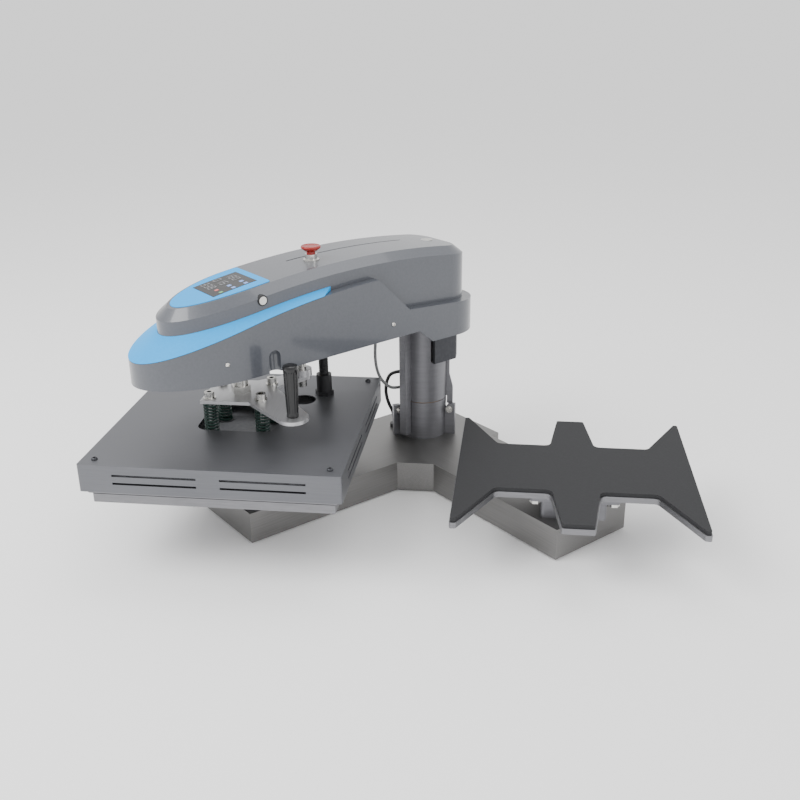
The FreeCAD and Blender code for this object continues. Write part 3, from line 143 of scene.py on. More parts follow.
def start(name, metallic=0.0, roughness=0.5, **fixed):
    """A new material with its shader's unchanging numbers set; returns its tree and shader."""
    material = bpy.data.materials.new(name)
    material.use_nodes = True
    shader = material.node_tree.nodes["Principled BSDF"]
    shader.inputs["Metallic"].default_value = metallic
    shader.inputs["Roughness"].default_value = roughness
    for socket, value in fixed.items():
        shader.inputs[socket.replace("_", " ")].default_value = value
    return material, material.node_tree, shader


# %% [markdown]
# Most finishes on this machine need the same three things from one pattern: a slight drift
# between two close colours, a slight drift in roughness, and a shallow relief. The pattern is
# noise, whose grain is given in millimetres along each axis. Long thin grain is brushed metal,
# round fine grain is paint or moulded plastic. A second, broad and faint noise breaks up large
# faces, as handling and rolling do on the real thing.

# %% The common finish
# Noise hardly leaves this span, so it is stretched to fill the whole range between two looks.
NOISE_LOW = 0.35
NOISE_HIGH = 0.65


def finish(name, colour, other, grain, relief=0.02, smooth=0.35, rough=0.45, turn=0.0, folded=False, **fixed):
    """A surface whose colour, roughness and relief follow noise with the given grain in mm."""
    material, tree, shader = start(name, **fixed)
    place = add(tree, "ShaderNodeTexCoord").outputs["Object"]
    if folded:
        apart = add(tree, "ShaderNodeSeparateXYZ", {0: place})
        mirrored = add(tree, "ShaderNodeMath", {0: apart.outputs[0]}, operation="ABSOLUTE")
        joined = add(tree, "ShaderNodeCombineXYZ", {
            0: mirrored.outputs[0], 1: apart.outputs[1], 2: apart.outputs[2],
        })
        place = joined.outputs[0]
    turned = add(tree, "ShaderNodeVectorRotate", {"Vector": place, "Angle": turn}, rotation_type="Z_AXIS")
    scale = [1.0 / (size * MM) for size in grain]
    drawn = add(tree, "ShaderNodeMapping", {"Vector": turned.outputs[0], "Scale": scale})
    fine = add(tree, "ShaderNodeTexNoise", {"Vector": drawn.outputs[0], "Scale": 1.0, "Detail": 3.0})
    broad = add(tree, "ShaderNodeTexNoise", {"Vector": place, "Scale": 9.0, "Detail": 2.0})
    both = add(tree, "ShaderNodeMix", {0: 0.3, 2: fine.outputs[0], 3: broad.outputs[0]})
    tone = add(tree, "ShaderNodeMapRange", {0: both.outputs[0], 1: NOISE_LOW, 2: NOISE_HIGH})
    mixed = add(tree, "ShaderNodeMix", {
        0: tone.outputs[0], 6: linear(colour), 7: linear(other),
    }, data_type="RGBA")
    tree.links.new(mixed.outputs[2], shader.inputs["Base Color"])
    gloss = add(tree, "ShaderNodeMapRange", {
        0: both.outputs[0], 1: NOISE_LOW, 2: NOISE_HIGH, 3: smooth, 4: rough,
    })
    tree.links.new(gloss.outputs[0], shader.inputs["Roughness"])
    bump = add(tree, "ShaderNodeBump", {"Strength": 0.5, "Distance": relief * MM, "Height": fine.outputs[0]})
    tree.links.new(bump.outputs[0], shader.inputs["Normal"])
    return material


# %% [markdown]
# The covers of the head are fibreglass shells sprayed with silver-grey car paint. Spray paint
# dries with a very faint orange-peel relief a few millimetres across, and clear lacquer on top
# gives it a second, sharper reflection, which is the shader's coat. The blue inlays are the
# same paint in another colour.

# %% Painted shells
paint = finish("silver_car_paint", "#484B52", "#4E5158", (4, 4, 4), relief=0.02, smooth=0.3, rough=0.36,
               Coat_Weight=0.6, Coat_Roughness=0.07)
blue = finish("blue_car_paint", "#009CE6", "#05A2EC", (4, 4, 4), relief=0.02, smooth=0.42, rough=0.48,
              Specular_IOR_Level=0.2, Coat_Weight=0.05, Coat_Roughness=0.12)
print("painted:", paint.name, blue.name)

# %% [markdown]
# The base is folded from stainless sheet and brushed along its arms. Real brush lines are a
# tenth of a millimetre wide; they are drawn here as coarse as they need to be to show, about
# two millimetres wide and eighty long. The base is symmetric, so the pattern is folded over
# the machine's middle plane and turned to run along each arm. The turning column is brushed
# round its axis on a lathe, so its lines are short in z and long in the other directions.

# %% Brushed and sheet metal
chassis = finish("brushed_stainless", "#7E7D7C", "#8C8B8A", (90, 1.4, 1.4), relief=0.015, smooth=0.34,
                 rough=0.46, turn=math.radians(45), folded=True, metallic=0.9)
column = finish("turned_steel", "#707074", "#78787C", (30, 30, 5), relief=0.004, smooth=0.36, rough=0.44,
                metallic=0.6)
cover = finish("satin_steel_sheet", "#66676B", "#6E6F73", (70, 2.2, 2.2), relief=0.015, smooth=0.36,
               rough=0.46, metallic=0.75)
bracket = finish("laser_cut_steel", "#C6C6C8", "#D0D0D2", (2.2, 50, 2.2), relief=0.02, smooth=0.28, rough=0.4,
                 metallic=0.9)
dark_steel = finish("satin_dark_steel", "#3C3D41", "#46474B", (6, 6, 6), relief=0.02, smooth=0.38, rough=0.5,
                    metallic=0.7)
bright = finish("zinc_plated_steel", "#C9C8C4", "#D8D7D3", (5, 5, 5), relief=0.01, smooth=0.14, rough=0.24,
                metallic=1.0)
polished = finish("polished_nickel", "#D4D2CE", "#DEDCD8", (4, 4, 4), relief=0.005, smooth=0.08, rough=0.16,
                  metallic=1.0)
bronze = finish("bearing_bronze", "#8C6B3E", "#9A784A", (5, 5, 5), smooth=0.3, rough=0.42, metallic=1.0)
brass = finish("nickel_brass", "#B59A5A", "#C0A668", (4, 4, 4), smooth=0.22, rough=0.32, metallic=1.0)
print("metals are ready")

# %% [markdown]
# The heating plate is cast aluminium with a machined face: pale, slightly mottled, with a fine
# pebble from the mould. The platens it presses on are covered with silicone foam, a soft,
# nearly black mat whose closed skin still shows the cells under it as small shallow dimples. Cells are
# drawn with a Voronoi pattern, which fills space with rounded pockets.

# %% Cast metal and foam
cast = finish("machined_aluminium", "#77777A", "#858588", (30, 3, 3), relief=0.02, smooth=0.34, rough=0.46,
              metallic=0.9)


def foam(name, colour, other, cell, depth, rough):
    """Closed-cell foam or rubber: pockets of the given size and depth in millimetres."""
    material, tree, shader = start(name, roughness=rough)
    place = add(tree, "ShaderNodeTexCoord").outputs["Object"]
    scale = 1.0 / (cell * MM)
    cells = add(tree, "ShaderNodeTexVoronoi", {"Vector": place, "Scale": scale}, feature="SMOOTH_F1")
    tone = add(tree, "ShaderNodeMix", {0: cells.outputs["Distance"], 6: linear(other), 7: linear(colour)},
               data_type="RGBA")
    tree.links.new(tone.outputs[2], shader.inputs["Base Color"])
    bump = add(tree, "ShaderNodeBump", {
        "Distance": depth * MM, "Strength": 0.6, "Height": cells.outputs["Distance"],
    })
    tree.links.new(bump.outputs[0], shader.inputs["Normal"])
    return material


silicone = foam("silicone_foam", "#202124", "#19191B", 2.5, 0.15, 0.72)
rubber = foam("foot_rubber", "#1E1E20", "#161618", 3.0, 0.1, 0.7)
blanket = foam("foil_faced_wool", "#8B8C90", "#77787C", 6.0, 0.6, 0.6)
print("soft layers:", silicone.name, rubber.name, blanket.name)

# %% [markdown]
# What is left is small: moulded black plastic with the fine spark-eroded texture of its mould,
# the red mushroom of the stop button, enamel on the die springs, the smoked window over the
# display, the circuit board under it, and the tubes. Plastics are not metal, and their colour
# hardly drifts, so most of their look comes from roughness.

# %% Plastics and small finishes
plastic = finish("black_abs", "#151517", "#1C1C1F", (1.5, 1.5, 1.5), relief=0.06, smooth=0.32, rough=0.44)
grip = finish("black_phenolic", "#0B0B0D", "#101012", (3, 3, 3), relief=0.01, smooth=0.14, rough=0.24)
red = finish("red_acetal", "#8F1B14", "#99211A", (3, 3, 3), relief=0.01, smooth=0.2, rough=0.3)
enamel = finish("green_enamel", "#14302A", "#1B3B33", (4, 4, 4), relief=0.03, smooth=0.28, rough=0.4)
window = finish("smoked_acrylic", "#101114", "#141518", (8, 8, 8), relief=0.005, smooth=0.16, rough=0.24)
board = finish("green_solder_mask", "#1D4A2B", "#255A35", (5, 5, 5), relief=0.03, smooth=0.3, rough=0.42)
tube_grey = finish("grey_polyurethane", "#6E6F70", "#7A7B7C", (3, 3, 3), relief=0.01, smooth=0.24, rough=0.34)
sheath = finish("black_pvc", "#18181A", "#202022", (3, 3, 3), relief=0.03, smooth=0.36, rough=0.48)
print("plastics are ready")

# %% [markdown]
# Each CAD part says in the record which material slot it belongs to. A table from slot to
# finish dresses all of them at once.

# %% Dress the CAD parts
FINISHES = {
    "chassis_steel": chassis, "column_steel": column, "dark_steel": dark_steel, "bright_steel": bright,
    "bracket_steel": bracket, "bearing_bronze": bronze, "cast_aluminium": cast, "silicone_pad": silicone,
    "foot_rubber": rubber, "cover_steel": cover, "shell_silver": paint, "trim_blue": blue,
    "display_black": window, "board_green": board, "black_plastic": plastic, "fitting_brass": brass,
    "button_metal": bright, "stop_red": red, "spring_green": enamel, "blanket_white": blanket,
    "tube_grey": tube_grey,
}
dressed = 0
for name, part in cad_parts.items():
    for place in part.material_slots:
        slot_name = place.material.name.split(".")[0]
        place.material = FINISHES[slot_name]
        dressed += 1
print("dressed", dressed, "slots on", len(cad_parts), "parts")

# %% [markdown]
# Two flexible lines run beside the column, one down from the head and one up from the base.
# Each is a fixed length of tube that leaves its fitting straight and then bends as softly as
# it can. A NURBS spline
# does the same: its points pull the line towards them without it having to touch them, so the
# bends come out smooth. Two helpers make the spline, and read back the line that it follows.

# %% Routes of the flexible lines
CABLE_RADIUS = 3.5
AIR_RADIUS = 3.0
CABLE_ROUTE = [
    (-62, 12, 68), (-62, 12, 88), (-74, 11, 112), (-79, 9, 138), (-76, 7, 163), (-65, 4, 183), (-43, 1, 186),
]
AIR_ROUTE = [
    (102, -20, 314), (102, -20, 294), (103, -20, 268), (105, -20, 240), (103, -19, 214), (95, -18, 191),
    (81, -16, 173), (64, -14, 162.5), (43.5, -12, 163),
]


def soft_line(name, points, radius):
    """A NURBS curve through the pull of its points, as thick as the given radius in metres."""
    curve = bpy.data.curves.new(name, "CURVE")
    curve.dimensions = "3D"
    curve.resolution_u = 16
    curve.bevel_depth = radius
    curve.bevel_resolution = 5
    curve.use_fill_caps = radius > 0
    spline = curve.splines.new("NURBS")
    spline.points.add(len(points) - 1)
    for knot, place in zip(spline.points, points):
        knot.co = (*place, 1.0)
    spline.order_u = 3
    spline.use_endpoint_u = True
    line = bpy.data.objects.new(name, curve)
    bpy.context.scene.collection.objects.link(line)
    return line


def baked(thing, name=None):
    """A plain mesh of what an object's curve or modifiers make; the object itself is removed."""
    bpy.context.view_layer.update()
    mesh = bpy.data.meshes.new_from_object(thing.evaluated_get(bpy.context.evaluated_depsgraph_get()))
    title = name or thing.name
    bpy.data.objects.remove(thing)
    mesh.name = title
    piece = bpy.data.objects.new(title, mesh)
    bpy.context.scene.collection.objects.link(piece)
    return piece


def line_length(points):
    return sum((b - a).length for a, b in zip(points, points[1:]))


# %% [markdown]
# The grey air line belongs to the head at both ends, so it turns with it and can stay a curve.
# The black power cable is harder: its foot is fixed to the base and its top enters the turning
# column, so it has to twist a quarter turn round the column as the head swings. That twist needs
# a blend, which moves the points of a mesh, so this curve is baked to a mesh tube; no blend is made here.

# %% Air line and power cable
air_points = [on_head(*place) for place in AIR_ROUTE]
air_line = soft_line("air_line", air_points, AIR_RADIUS * MM)
air_line.data.materials.append(tube_grey)
air_path = [v.co.copy() for v in baked(soft_line("air_path", air_points, 0)).data.vertices]
bpy.data.objects.remove(bpy.data.objects["air_path"])
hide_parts("air_tube")
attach(air_line, "head")

cable_points = [Vector(place) * MM for place in CABLE_ROUTE]
cable_path = [v.co.copy() for v in baked(soft_line("cable_path", cable_points, 0)).data.vertices]
bpy.data.objects.remove(bpy.data.objects["cable_path"])
cable = baked(soft_line("power_cable", cable_points, CABLE_RADIUS * MM))
cable.data.materials.append(sheath)
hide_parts("column_cable")
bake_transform(cable)
print("air line", round(line_length(air_path), 3), "m; power cable", round(line_length(cable_path), 3), "m")

# %% [markdown]
# Geometry Nodes are made for things that repeat. A small helper starts a tree with named
# inputs for its sizes, and another hangs the tree on an object, sets those inputs and bakes
# the outcome. The sizes can then be changed in one place, just as in a CAD program.

# %% Helpers for Geometry Nodes
SOCKETS = {float: "NodeSocketFloat", int: "NodeSocketInt", bpy.types.Object: "NodeSocketObject",
           bpy.types.Material: "NodeSocketMaterial"}


def grow_tree(name, **inputs):
    """A geometry tree with one input per size; returns the tree and its input and output nodes."""
    tree = bpy.data.node_groups.new(name, "GeometryNodeTree")
    tree.interface.new_socket("Geometry", in_out="INPUT", socket_type="NodeSocketGeometry")
    for label, kind in inputs.items():
        tree.interface.new_socket(label, in_out="INPUT", socket_type=SOCKETS[kind])
    tree.interface.new_socket("Geometry", in_out="OUTPUT", socket_type="NodeSocketGeometry")
    return tree, tree.nodes.new("NodeGroupInput").outputs, tree.nodes.new("NodeGroupOutput").inputs


def grown(name, tree, seed_points, aims=(), **sizes):
    """Bakes a tree on a cloud of points. Each point may carry a direction to aim along."""
    mesh = bpy.data.meshes.new(name)
    mesh.from_pydata([tuple(p) for p in seed_points], [], [])
    if aims:
        attribute = mesh.attributes.new("aim", "FLOAT_VECTOR", "POINT")
        for item, aim in zip(attribute.data, aims):
            item.vector = aim
    thing = bpy.data.objects.new(name + "_seed", mesh)
    bpy.context.scene.collection.objects.link(thing)
    modifier = thing.modifiers.new("grow", "NODES")
    modifier.node_group = tree
    for item in tree.interface.items_tree:
        if item.in_out == "INPUT" and item.name in sizes:
            modifier[item.identifier] = sizes[item.name]
    piece = baked(thing, name)
    print(name, len(piece.data.polygons), "faces")
    return piece


# %% [markdown]
# A die spring is a short stiff coil wound from wire of almost square section, with its last
# turn at each end closed and ground flat. The CAD model has a plain tube in its place. One
# spiral curve with a rectangular profile makes the coil, and two flat rings make its ends.
# Every spring is the same, so the coil is made once and placed on four points.

# %% Die springs
WIRE_ROUND = 0.9 * MM
tree, given, result = grow_tree(
    "coil_spring", Radius=float, Height=float, Turns=float, Wire=float, Finish=bpy.types.Material,
)
profile = add(tree, "GeometryNodeCurvePrimitiveQuadrilateral", {
    "Width": given["Wire"], "Height": given["Wire"],
})
rounded = add(tree, "GeometryNodeFilletCurve", {
    "Curve": profile.outputs[0], "Radius": WIRE_ROUND, "Count": 2,
}, mode="POLY")
spiral = add(tree, "GeometryNodeCurveSpiral", {
    "Resolution": 28, "Rotations": given["Turns"], "Height": given["Height"],
    "Start Radius": given["Radius"], "End Radius": given["Radius"],
})
steady = add(tree, "GeometryNodeSetCurveNormal", {"Curve": spiral.outputs[0]}, mode="Z_UP")
coil = add(tree, "GeometryNodeCurveToMesh", {
    "Curve": steady.outputs[0], "Profile Curve": rounded.outputs[0], "Fill Caps": True,
})
hoop = add(tree, "GeometryNodeCurvePrimitiveCircle", {"Resolution": 36, "Radius": given["Radius"]})
end_ring = add(tree, "GeometryNodeCurveToMesh", {
    "Curve": hoop.outputs[0], "Profile Curve": rounded.outputs[0],
})
lift = add(tree, "ShaderNodeCombineXYZ", {2: given["Height"]})
raised = add(tree, "GeometryNodeTransform", {"Geometry": end_ring.outputs[0], "Translation": lift.outputs[0]})
whole = add(tree, "GeometryNodeJoinGeometry")
for part in (raised, end_ring, coil):
    tree.links.new(part.outputs[0], whole.inputs[0])
on_points = add(tree, "GeometryNodeInstanceOnPoints", {
    "Points": given["Geometry"], "Instance": whole.outputs[0],
})
solid = add(tree, "GeometryNodeRealizeInstances", {0: on_points.outputs[0]})
finished = add(tree, "GeometryNodeSetMaterial", {"Geometry": solid.outputs[0], "Material": given["Finish"]})
tree.links.new(finished.outputs[0], result[0])

SPRING_RADIUS = 12.5 * MM
WIRE = 3.0 * MM
spring_low, spring_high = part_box("die_springs")
corners = [
    (x, y, spring_low.z + WIRE / 2)
    for x in (spring_low.x + SPRING_RADIUS, spring_high.x - SPRING_RADIUS)
    for y in (spring_low.y + SPRING_RADIUS, spring_high.y - SPRING_RADIUS)
]
springs = grown("coil_springs", tree, corners, Radius=SPRING_RADIUS - WIRE / 2,
                Height=spring_high.z - spring_low.z - WIRE, Turns=11.0, Wire=WIRE, Finish=enamel)
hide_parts("die_springs")
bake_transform(springs)

# %% [markdown]
# The heater's wires rise from the hot cover to the head inside a ribbed plastic conduit. Its
# ribs are rings at an even pitch along a straight line, so a line of points and one ring are
# enough: the tree places the ring on every point and slides a smooth core inside them.

# %% Ribbed conduit
tree, given, result = grow_tree(
    "ribbed_conduit", Radius=float, Length=float, Count=int, Bead=float, Finish=bpy.types.Material,
)
step = add(tree, "ShaderNodeMath", {0: given["Length"], 1: given["Count"]}, operation="DIVIDE")
offset = add(tree, "ShaderNodeCombineXYZ", {2: step.outputs[0]})
line = add(tree, "GeometryNodeMeshLine", {
    "Count": given["Count"], "Offset": offset.outputs[0],
}, mode="OFFSET")
inside = add(tree, "ShaderNodeMath", {0: given["Radius"], 1: given["Bead"]}, operation="SUBTRACT")
hoop = add(tree, "GeometryNodeCurvePrimitiveCircle", {"Resolution": 32, "Radius": inside.outputs[0]})
round_wire = add(tree, "GeometryNodeCurvePrimitiveCircle", {"Resolution": 8, "Radius": given["Bead"]})
ring = add(tree, "GeometryNodeCurveToMesh", {
    "Curve": hoop.outputs[0], "Profile Curve": round_wire.outputs[0],
})
rings = add(tree, "GeometryNodeInstanceOnPoints", {"Points": line.outputs[0], "Instance": ring.outputs[0]})
top_end = add(tree, "ShaderNodeCombineXYZ", {2: given["Length"]})
axis = add(tree, "GeometryNodeCurvePrimitiveLine", {"End": top_end.outputs[0]})
core = add(tree, "GeometryNodeCurveToMesh", {
    "Curve": axis.outputs[0], "Profile Curve": hoop.outputs[0], "Fill Caps": True,
})
whole = add(tree, "GeometryNodeJoinGeometry")
for part in (rings, core):
    tree.links.new(part.outputs[0], whole.inputs[0])
on_points = add(tree, "GeometryNodeInstanceOnPoints", {
    "Points": given["Geometry"], "Instance": whole.outputs[0],
})
solid = add(tree, "GeometryNodeRealizeInstances", {0: on_points.outputs[0]})
finished = add(tree, "GeometryNodeSetMaterial", {"Geometry": solid.outputs[0], "Material": given["Finish"]})
tree.links.new(finished.outputs[0], result[0])

x, y, conduit_foot, conduit_top = middle("heater_conduit")
CONDUIT_RADIUS = 9.0 * MM
RIB_PITCH = 3.6 * MM
BEAD = 1.3 * MM
conduit_length = conduit_top - conduit_foot - 2 * BEAD
conduit = grown("ribbed_conduit", tree, [(x, y, conduit_foot + BEAD)], Radius=CONDUIT_RADIUS,
                Length=conduit_length, Count=round(conduit_length / RIB_PITCH), Bead=BEAD, Finish=plastic)
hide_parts("heater_conduit")
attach(conduit, "hot_plate")

# %% [markdown]
# Turned parts, such as knobs and screw heads, are described by their outline: a list of radii
# and heights. The helper below spins such a list into rings of points and joins them with
# faces. A rule may change the radius with the angle, which gives flutes or a hexagon socket.

# %% Helper for turned parts
def spun(outline, place, axis=(0, 0, 1), segments=40, rule=lambda angle, ring: 1.0):
    """Points and faces of an outline of (radius, height) pairs, spun round an axis at a place."""
    turn = Vector((0, 0, 1)).rotation_difference(Vector(axis)).to_matrix()
    points = []
    for ring, (radius, height) in enumerate(outline):
        for i in range(segments):
            angle = 2 * math.pi * i / segments
            reach = radius * rule(angle, ring)
            spoke = Vector((reach * math.cos(angle), reach * math.sin(angle), height))
            points.append(Vector(place) + turn @ spoke)
    faces = []
    for ring in range(len(outline) - 1):
        for i in range(segments):
            after = (i + 1) % segments
            low, high = ring * segments, (ring + 1) * segments
            faces.append((low + i, low + after, high + after, high + i))
    faces.append(tuple(reversed(range(segments))))
    faces.append(tuple(range((len(outline) - 1) * segments, len(outline) * segments)))
    return points, faces


def made(name, shapes, material, smooth_under=40.0):
    """One object from a list of points-and-faces pairs, with soft shading on its gentle edges."""
    mesh = bpy.data.meshes.new(name)
    points, faces = [], []
    for some_points, some_faces in shapes:
        faces += [tuple(i + len(points) for i in face) for face in some_faces]
        points += [tuple(p) for p in some_points]
    mesh.from_pydata(points, [], faces)
    work = bmesh.new()
    work.from_mesh(mesh)
    bmesh.ops.recalc_face_normals(work, faces=work.faces)
    work.to_mesh(mesh)
    work.free()
    mesh.materials.append(material)
    mesh.shade_smooth()
    mesh.set_sharp_from_angle(angle=math.radians(smooth_under))
    piece = bpy.data.objects.new(name, mesh)
    bpy.context.scene.collection.objects.link(piece)
    print(name, len(mesh.polygons), "faces")
    return piece


# %% [markdown]
# The pull handle is a black phenolic grip, thicker at the top, moulded with flutes that stop
# short of both ends. The flutes are a rule on the radius: a cosine round the grip, switched
# off on the first and last rings. A low dome closes the top.

# %% Fluted handle
FLUTES = 16
FLUTE_DEPTH = 0.07
handle_x, handle_y, handle_foot, handle_top = middle("pull_handle")
tall = handle_top - handle_foot
GRIP_OUTLINE = [
    (9.0, 0.0), (10.0, 0.012), (10.0, 0.05), (9.6, 0.07), (9.8, 0.1), (10.4, 0.3), (11.2, 0.55), (11.9, 0.8),
    (12.1, 0.87), (12.0, 0.885), (12.4, 0.9), (12.45, 0.95), (11.6, 0.985), (9.0, 0.997), (4.0, 1.0),
]


def flutes(angle, ring):
    return 1.0 - (FLUTE_DEPTH * (0.5 + 0.5 * math.cos(FLUTES * angle)) if 4 <= ring <= 8 else 0.0)


handle = made("fluted_handle", [spun(
    [(radius * MM, tall * share) for radius, share in GRIP_OUTLINE], (handle_x, handle_y, handle_foot),
    segments=FLUTES * 6, rule=flutes,
)], grip)
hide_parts("pull_handle")
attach(handle, "carriage")

# %% [markdown]
# The emergency stop is a red mushroom on a bright neck. Its cap flares out from the neck, has
# a thin rolled rim and is slightly dished on top, so that a palm finds it without looking.

# %% Stop button
stop_x, stop_y, stop_foot, stop_top = middle("estop_button")
STEM_FOOT = (stop_foot - stop_top) / MM
CAP_OUTLINE = [
    (7.7, STEM_FOOT), (7.7, -9.9), (9.4, -9.7), (11.0, -9.0), (13.6, -6.6), (16.2, -4.8), (17.3, -3.6),
    (17.45, -2.4), (17.1, -1.0), (16.2, -0.2), (15.0, 0.0), (14.2, -0.4), (10.0, -0.9), (4.0, -1.1),
]
stop_button = made("mushroom_stop_button", [spun(
    [(radius * MM, height * MM) for radius, height in CAP_OUTLINE], (stop_x, stop_y, stop_top), segments=56,
)], red)
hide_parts("estop_button")
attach(stop_button, "estop")

# %% [markdown]
# Small domed screws with a hexagon socket hold the covers. One screw head is spun as a list of
# rings whose inner ones follow a hexagon, and a geometry tree stands a copy on each point,
# turned so that it points along that point's direction.

# %% Domed screws
SOCKET_RINGS = (6, 7, 8)


def hexagon_inside(angle, ring):
    """Round rings outside, hexagon rings for the socket."""
    if ring not in SOCKET_RINGS:
        return 1.0
    return math.cos(math.pi / 6) / math.cos((angle % (math.pi / 3)) - math.pi / 6)


def domed_head(name, radius, height, material):
    outline = [
        (0.98, -0.3), (1.0, 0.0), (1.0, 0.25), (0.92, 0.6), (0.75, 0.88), (0.58, 0.98), (0.52, 1.0),
        (0.5, 0.9), (0.5, 0.3), (0.1, 0.25),
    ]
    head = made(name, [spun([(r * radius * MM, h * height * MM) for r, h in outline], (0, 0, 0), segments=24,
                            rule=hexagon_inside)], material, 50.0)
    head.hide_render = True
    return head


tree, given, result = grow_tree("screws", Screw=bpy.types.Object, Finish=bpy.types.Material)
aim = add(tree, "GeometryNodeInputNamedAttribute", {"Name": "aim"}, data_type="FLOAT_VECTOR")
pointed = add(tree, "FunctionNodeAlignRotationToVector", {"Vector": aim.outputs[0]}, axis="Z")
shape = add(tree, "GeometryNodeObjectInfo", {"Object": given["Screw"]})
on_points = add(tree, "GeometryNodeInstanceOnPoints", {
    "Points": given["Geometry"], "Instance": shape.outputs["Geometry"], "Rotation": pointed.outputs[0],
})
solid = add(tree, "GeometryNodeRealizeInstances", {0: on_points.outputs[0]})
finished = add(tree, "GeometryNodeSetMaterial", {"Geometry": solid.outputs[0], "Material": given["Finish"]})
tree.links.new(finished.outputs[0], result[0])

COVER_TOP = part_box("heat_cover")[1].z
screw_low, screw_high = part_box("cover_screws")
SCREW_HEAD = 5.1
black_head = domed_head("black_screw_head", SCREW_HEAD, 3.8, dark_steel)
cover_points = [
    (x, y, COVER_TOP)
    for x in (screw_low.x + SCREW_HEAD * MM, screw_high.x - SCREW_HEAD * MM)
    for y in (screw_low.y + SCREW_HEAD * MM, screw_high.y - SCREW_HEAD * MM)
]
cover_aims = [(0, 0, 1)] * len(cover_points)
cover_screws = grown("cover_button_screws", tree, cover_points, cover_aims, Screw=black_head,
                     Finish=dark_steel)
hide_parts("cover_screws")
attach(cover_screws, "hot_plate")

SHELL_HALF = 97.0
SHELL_SCREW_U = (148.0, 479.0)
SHELL_SCREW_Z = 341.0
SHELL_TIP = 600.0
NOSE_LENGTH = 165.0
NOSE_START = SHELL_TIP - NOSE_LENGTH
bright_head = domed_head("bright_screw_head", 4.0, 2.6, polished)
shell_points, shell_aims = [], []
for u in SHELL_SCREW_U:
    narrowing = SHELL_HALF * math.sqrt(1 - (max(0.0, u - NOSE_START) / NOSE_LENGTH) ** 2)
    for side in (-1, 1):
        shell_points.append(on_head(u, side * (narrowing + 0.2), SHELL_SCREW_Z))
        shell_aims.append(tuple(on_head(0, side, 0).normalized()))
shell_screws = grown("shell_button_screws", tree, shell_points, shell_aims, Screw=bright_head,
                     Finish=polished)
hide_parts("shell_screws")
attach(shell_screws, "head")
for template in (black_head, bright_head):
    bpy.data.objects.remove(template)

# %% [markdown]
# The display is a smoked window with three rows of numerals behind it, two key marks beside
# each of the upper rows, and a red and a green lamp beside the lowest. Seven bars can draw any
# numeral, so each row is a short string of numbers and a table says which bars it lights. The
# bars are thin tiles that follow the curve of the head's top.

# %% Marks on the display
TOP_PEAK_U = 174.0
TOP_PEAK_Z = 464.0
TOP_RADIUS = 1560.0
WINDOW_LIFT = 1.05
# Each bar of a numeral: where it starts and ends, across and down, as shares of the numeral.
BARS = {
    "a": (0, 0, 1, 0), "b": (1, 0, 1, 0.5), "c": (1, 0.5, 1, 1), "d": (0, 1, 1, 1),
    "e": (0, 0.5, 0, 1), "f": (0, 0, 0, 0.5), "g": (0, 0.5, 1, 0.5),
}
NUMERALS = {"0": "abcdef", "1": "bc", "3": "abcdg", "5": "acdfg", "8": "abcdefg"}


def tile(u0, u1, v0, v1, thick=0.25):
    """A thin tile on the display, between two places along the head and two across it."""
    points = []
    for lift in (0.0, thick):
        for u, v in ((u0, v0), (u1, v0), (u1, v1), (u0, v1)):
            skin = TOP_PEAK_Z - TOP_RADIUS + math.sqrt(TOP_RADIUS ** 2 - (u - TOP_PEAK_U) ** 2)
            points.append(on_head(u, v, skin + WINDOW_LIFT + lift))
    return points, [(0, 1, 2, 3), (7, 6, 5, 4), (0, 4, 5, 1), (1, 5, 6, 2), (2, 6, 7, 3), (3, 7, 4, 0)]


def numeral(symbol, u, v, wide, tall, bar):
    """The bars of one numeral whose upper left corner is at u, v. Up is towards the column."""
    shapes = []
    for key in NUMERALS[symbol]:
        across0, down0, across1, down1 = BARS[key]
        shapes.append(tile(u + down0 * tall - bar / 2, u + down1 * tall + bar / 2,
                           v + across0 * wide - bar / 2, v + across1 * wide + bar / 2))
    return shapes


def glow(name, colour, strength):
    """Lit plastic, or printed ink given a painted glow: a tinted face that also gives off a little of its own
    light.
    """
    material, tree, shader = start(name, roughness=0.35, Emission_Strength=strength)
    place = add(tree, "ShaderNodeTexCoord").outputs["Object"]
    grain = add(tree, "ShaderNodeTexNoise", {"Vector": place, "Scale": 900.0})
    tone = add(tree, "ShaderNodeMix", {
        0: grain.outputs[0], 6: linear(colour), 7: linear("#FFFFFF"),
    }, data_type="RGBA")
    soft = add(tree, "ShaderNodeMix", {0: 0.15, 6: linear(colour), 7: tone.outputs[2]}, data_type="RGBA")
    tree.links.new(soft.outputs[2], shader.inputs["Base Color"])
    tree.links.new(soft.outputs[2], shader.inputs["Emission Color"])
    return material


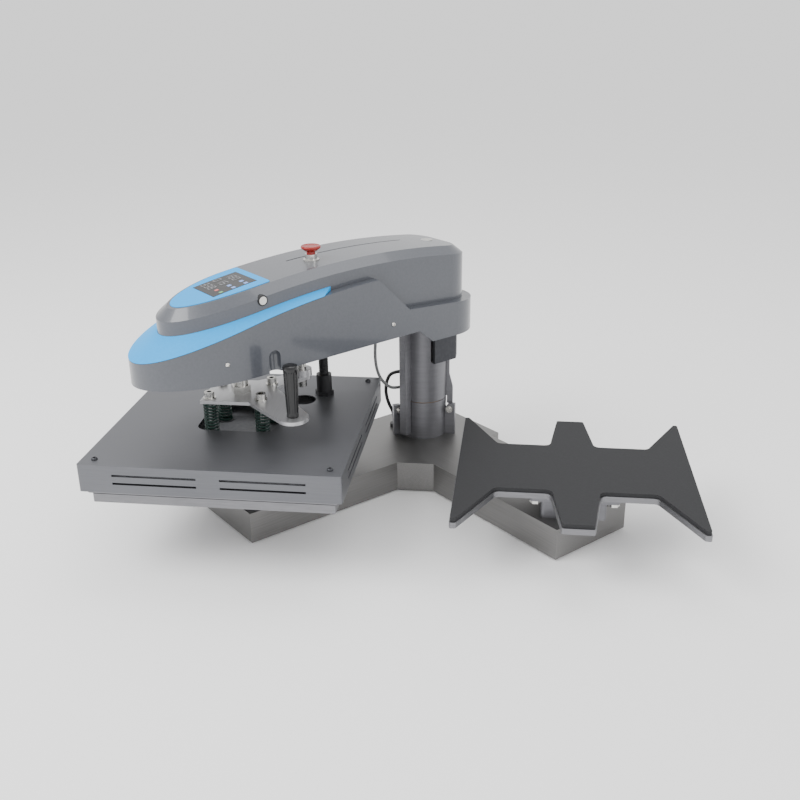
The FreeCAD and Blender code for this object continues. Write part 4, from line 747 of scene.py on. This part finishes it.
ROWS = ((394.0, "180"), (417.0, "015"), (440.0, "338"))
shapes = []
for u, text in ROWS:
    for place, symbol in enumerate(text):
        shapes += numeral(symbol, u, -31.0 + 12.0 * place, 7.0, 13.0, 1.5)
digits = made("display_numerals", shapes, glow("lit_grey_numerals", "#6A6B70", 0.03))
keys = []
for u in (401.0, 424.0):
    for v in (15.0, 29.5):
        keys.append(tile(u - 3.2, u + 3.2, v - 3.6, v + 3.6))
# The key marks are printed ink, which gives off no light of its own: their faint glow is a painted glow.
key_marks = made("display_key_marks", keys, glow("blue_key_ink", "#6E93D6", 0.1))
red_lamp = made("display_red_lamp", [tile(444.0, 450.0, 11.0, 17.0)], glow("red_lamp", "#C9544B", 0.15))
green_lamp = made("display_green_lamp", [tile(444.0, 450.0, 26.0, 32.0)], glow("green_lamp", "#4C9A55", 0.15))
for piece in (digits, key_marks, red_lamp, green_lamp):
    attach(piece, "head")

# %% [markdown]
# The studio is a pale floor that runs away under a pale sky, a large soft light above and to
# the left, and a weaker one on the right to open the shadows. Big lights close to the object
# give the long soft highlights that show the shape of painted covers.

# %% Studio
floor_mesh = bpy.data.meshes.new("floor")
FLOOR = 12.0
corners = [(-FLOOR, -FLOOR, 0), (FLOOR, -FLOOR, 0), (FLOOR, FLOOR, 0), (-FLOOR, FLOOR, 0)]
floor_mesh.from_pydata(corners, [], [(0, 1, 2, 3)])
floor = bpy.data.objects.new("floor", floor_mesh)
bpy.context.scene.collection.objects.link(floor)
pale, tree, shader = start("pale_floor", roughness=0.9)
shader.inputs["Base Color"].default_value = linear("#FFFFFF")
floor_mesh.materials.append(pale)

world = bpy.data.worlds.new("pale_sky")
bpy.context.scene.world = world
world.use_nodes = True
sky = world.node_tree.nodes["Background"]
sky.inputs["Color"].default_value = (1, 1, 1, 1)
sky.inputs["Strength"].default_value = 1.25


def softbox(name, place, aim_at, size, power):
    data = bpy.data.lights.new(name, "AREA")
    data.shape = "RECTANGLE"
    data.size, data.size_y = size
    data.energy = power
    lamp = bpy.data.objects.new(name, data)
    lamp.location = place
    lamp.rotation_euler = (Vector(aim_at) - Vector(place)).to_track_quat("-Z", "Y").to_euler()
    bpy.context.scene.collection.objects.link(lamp)


softbox("key_light", (-1.6, -1.2, 2.2), (0, -0.2, 0.2), (1.8, 1.4), 60)
softbox("fill_light", (2.2, -1.6, 1.4), (0, -0.2, 0.2), (1.4, 1.4), 12)
softbox("top_light", (0.2, 0.6, 2.6), (0, -0.2, 0.2), (2.0, 1.2), 14)
print("studio is set")
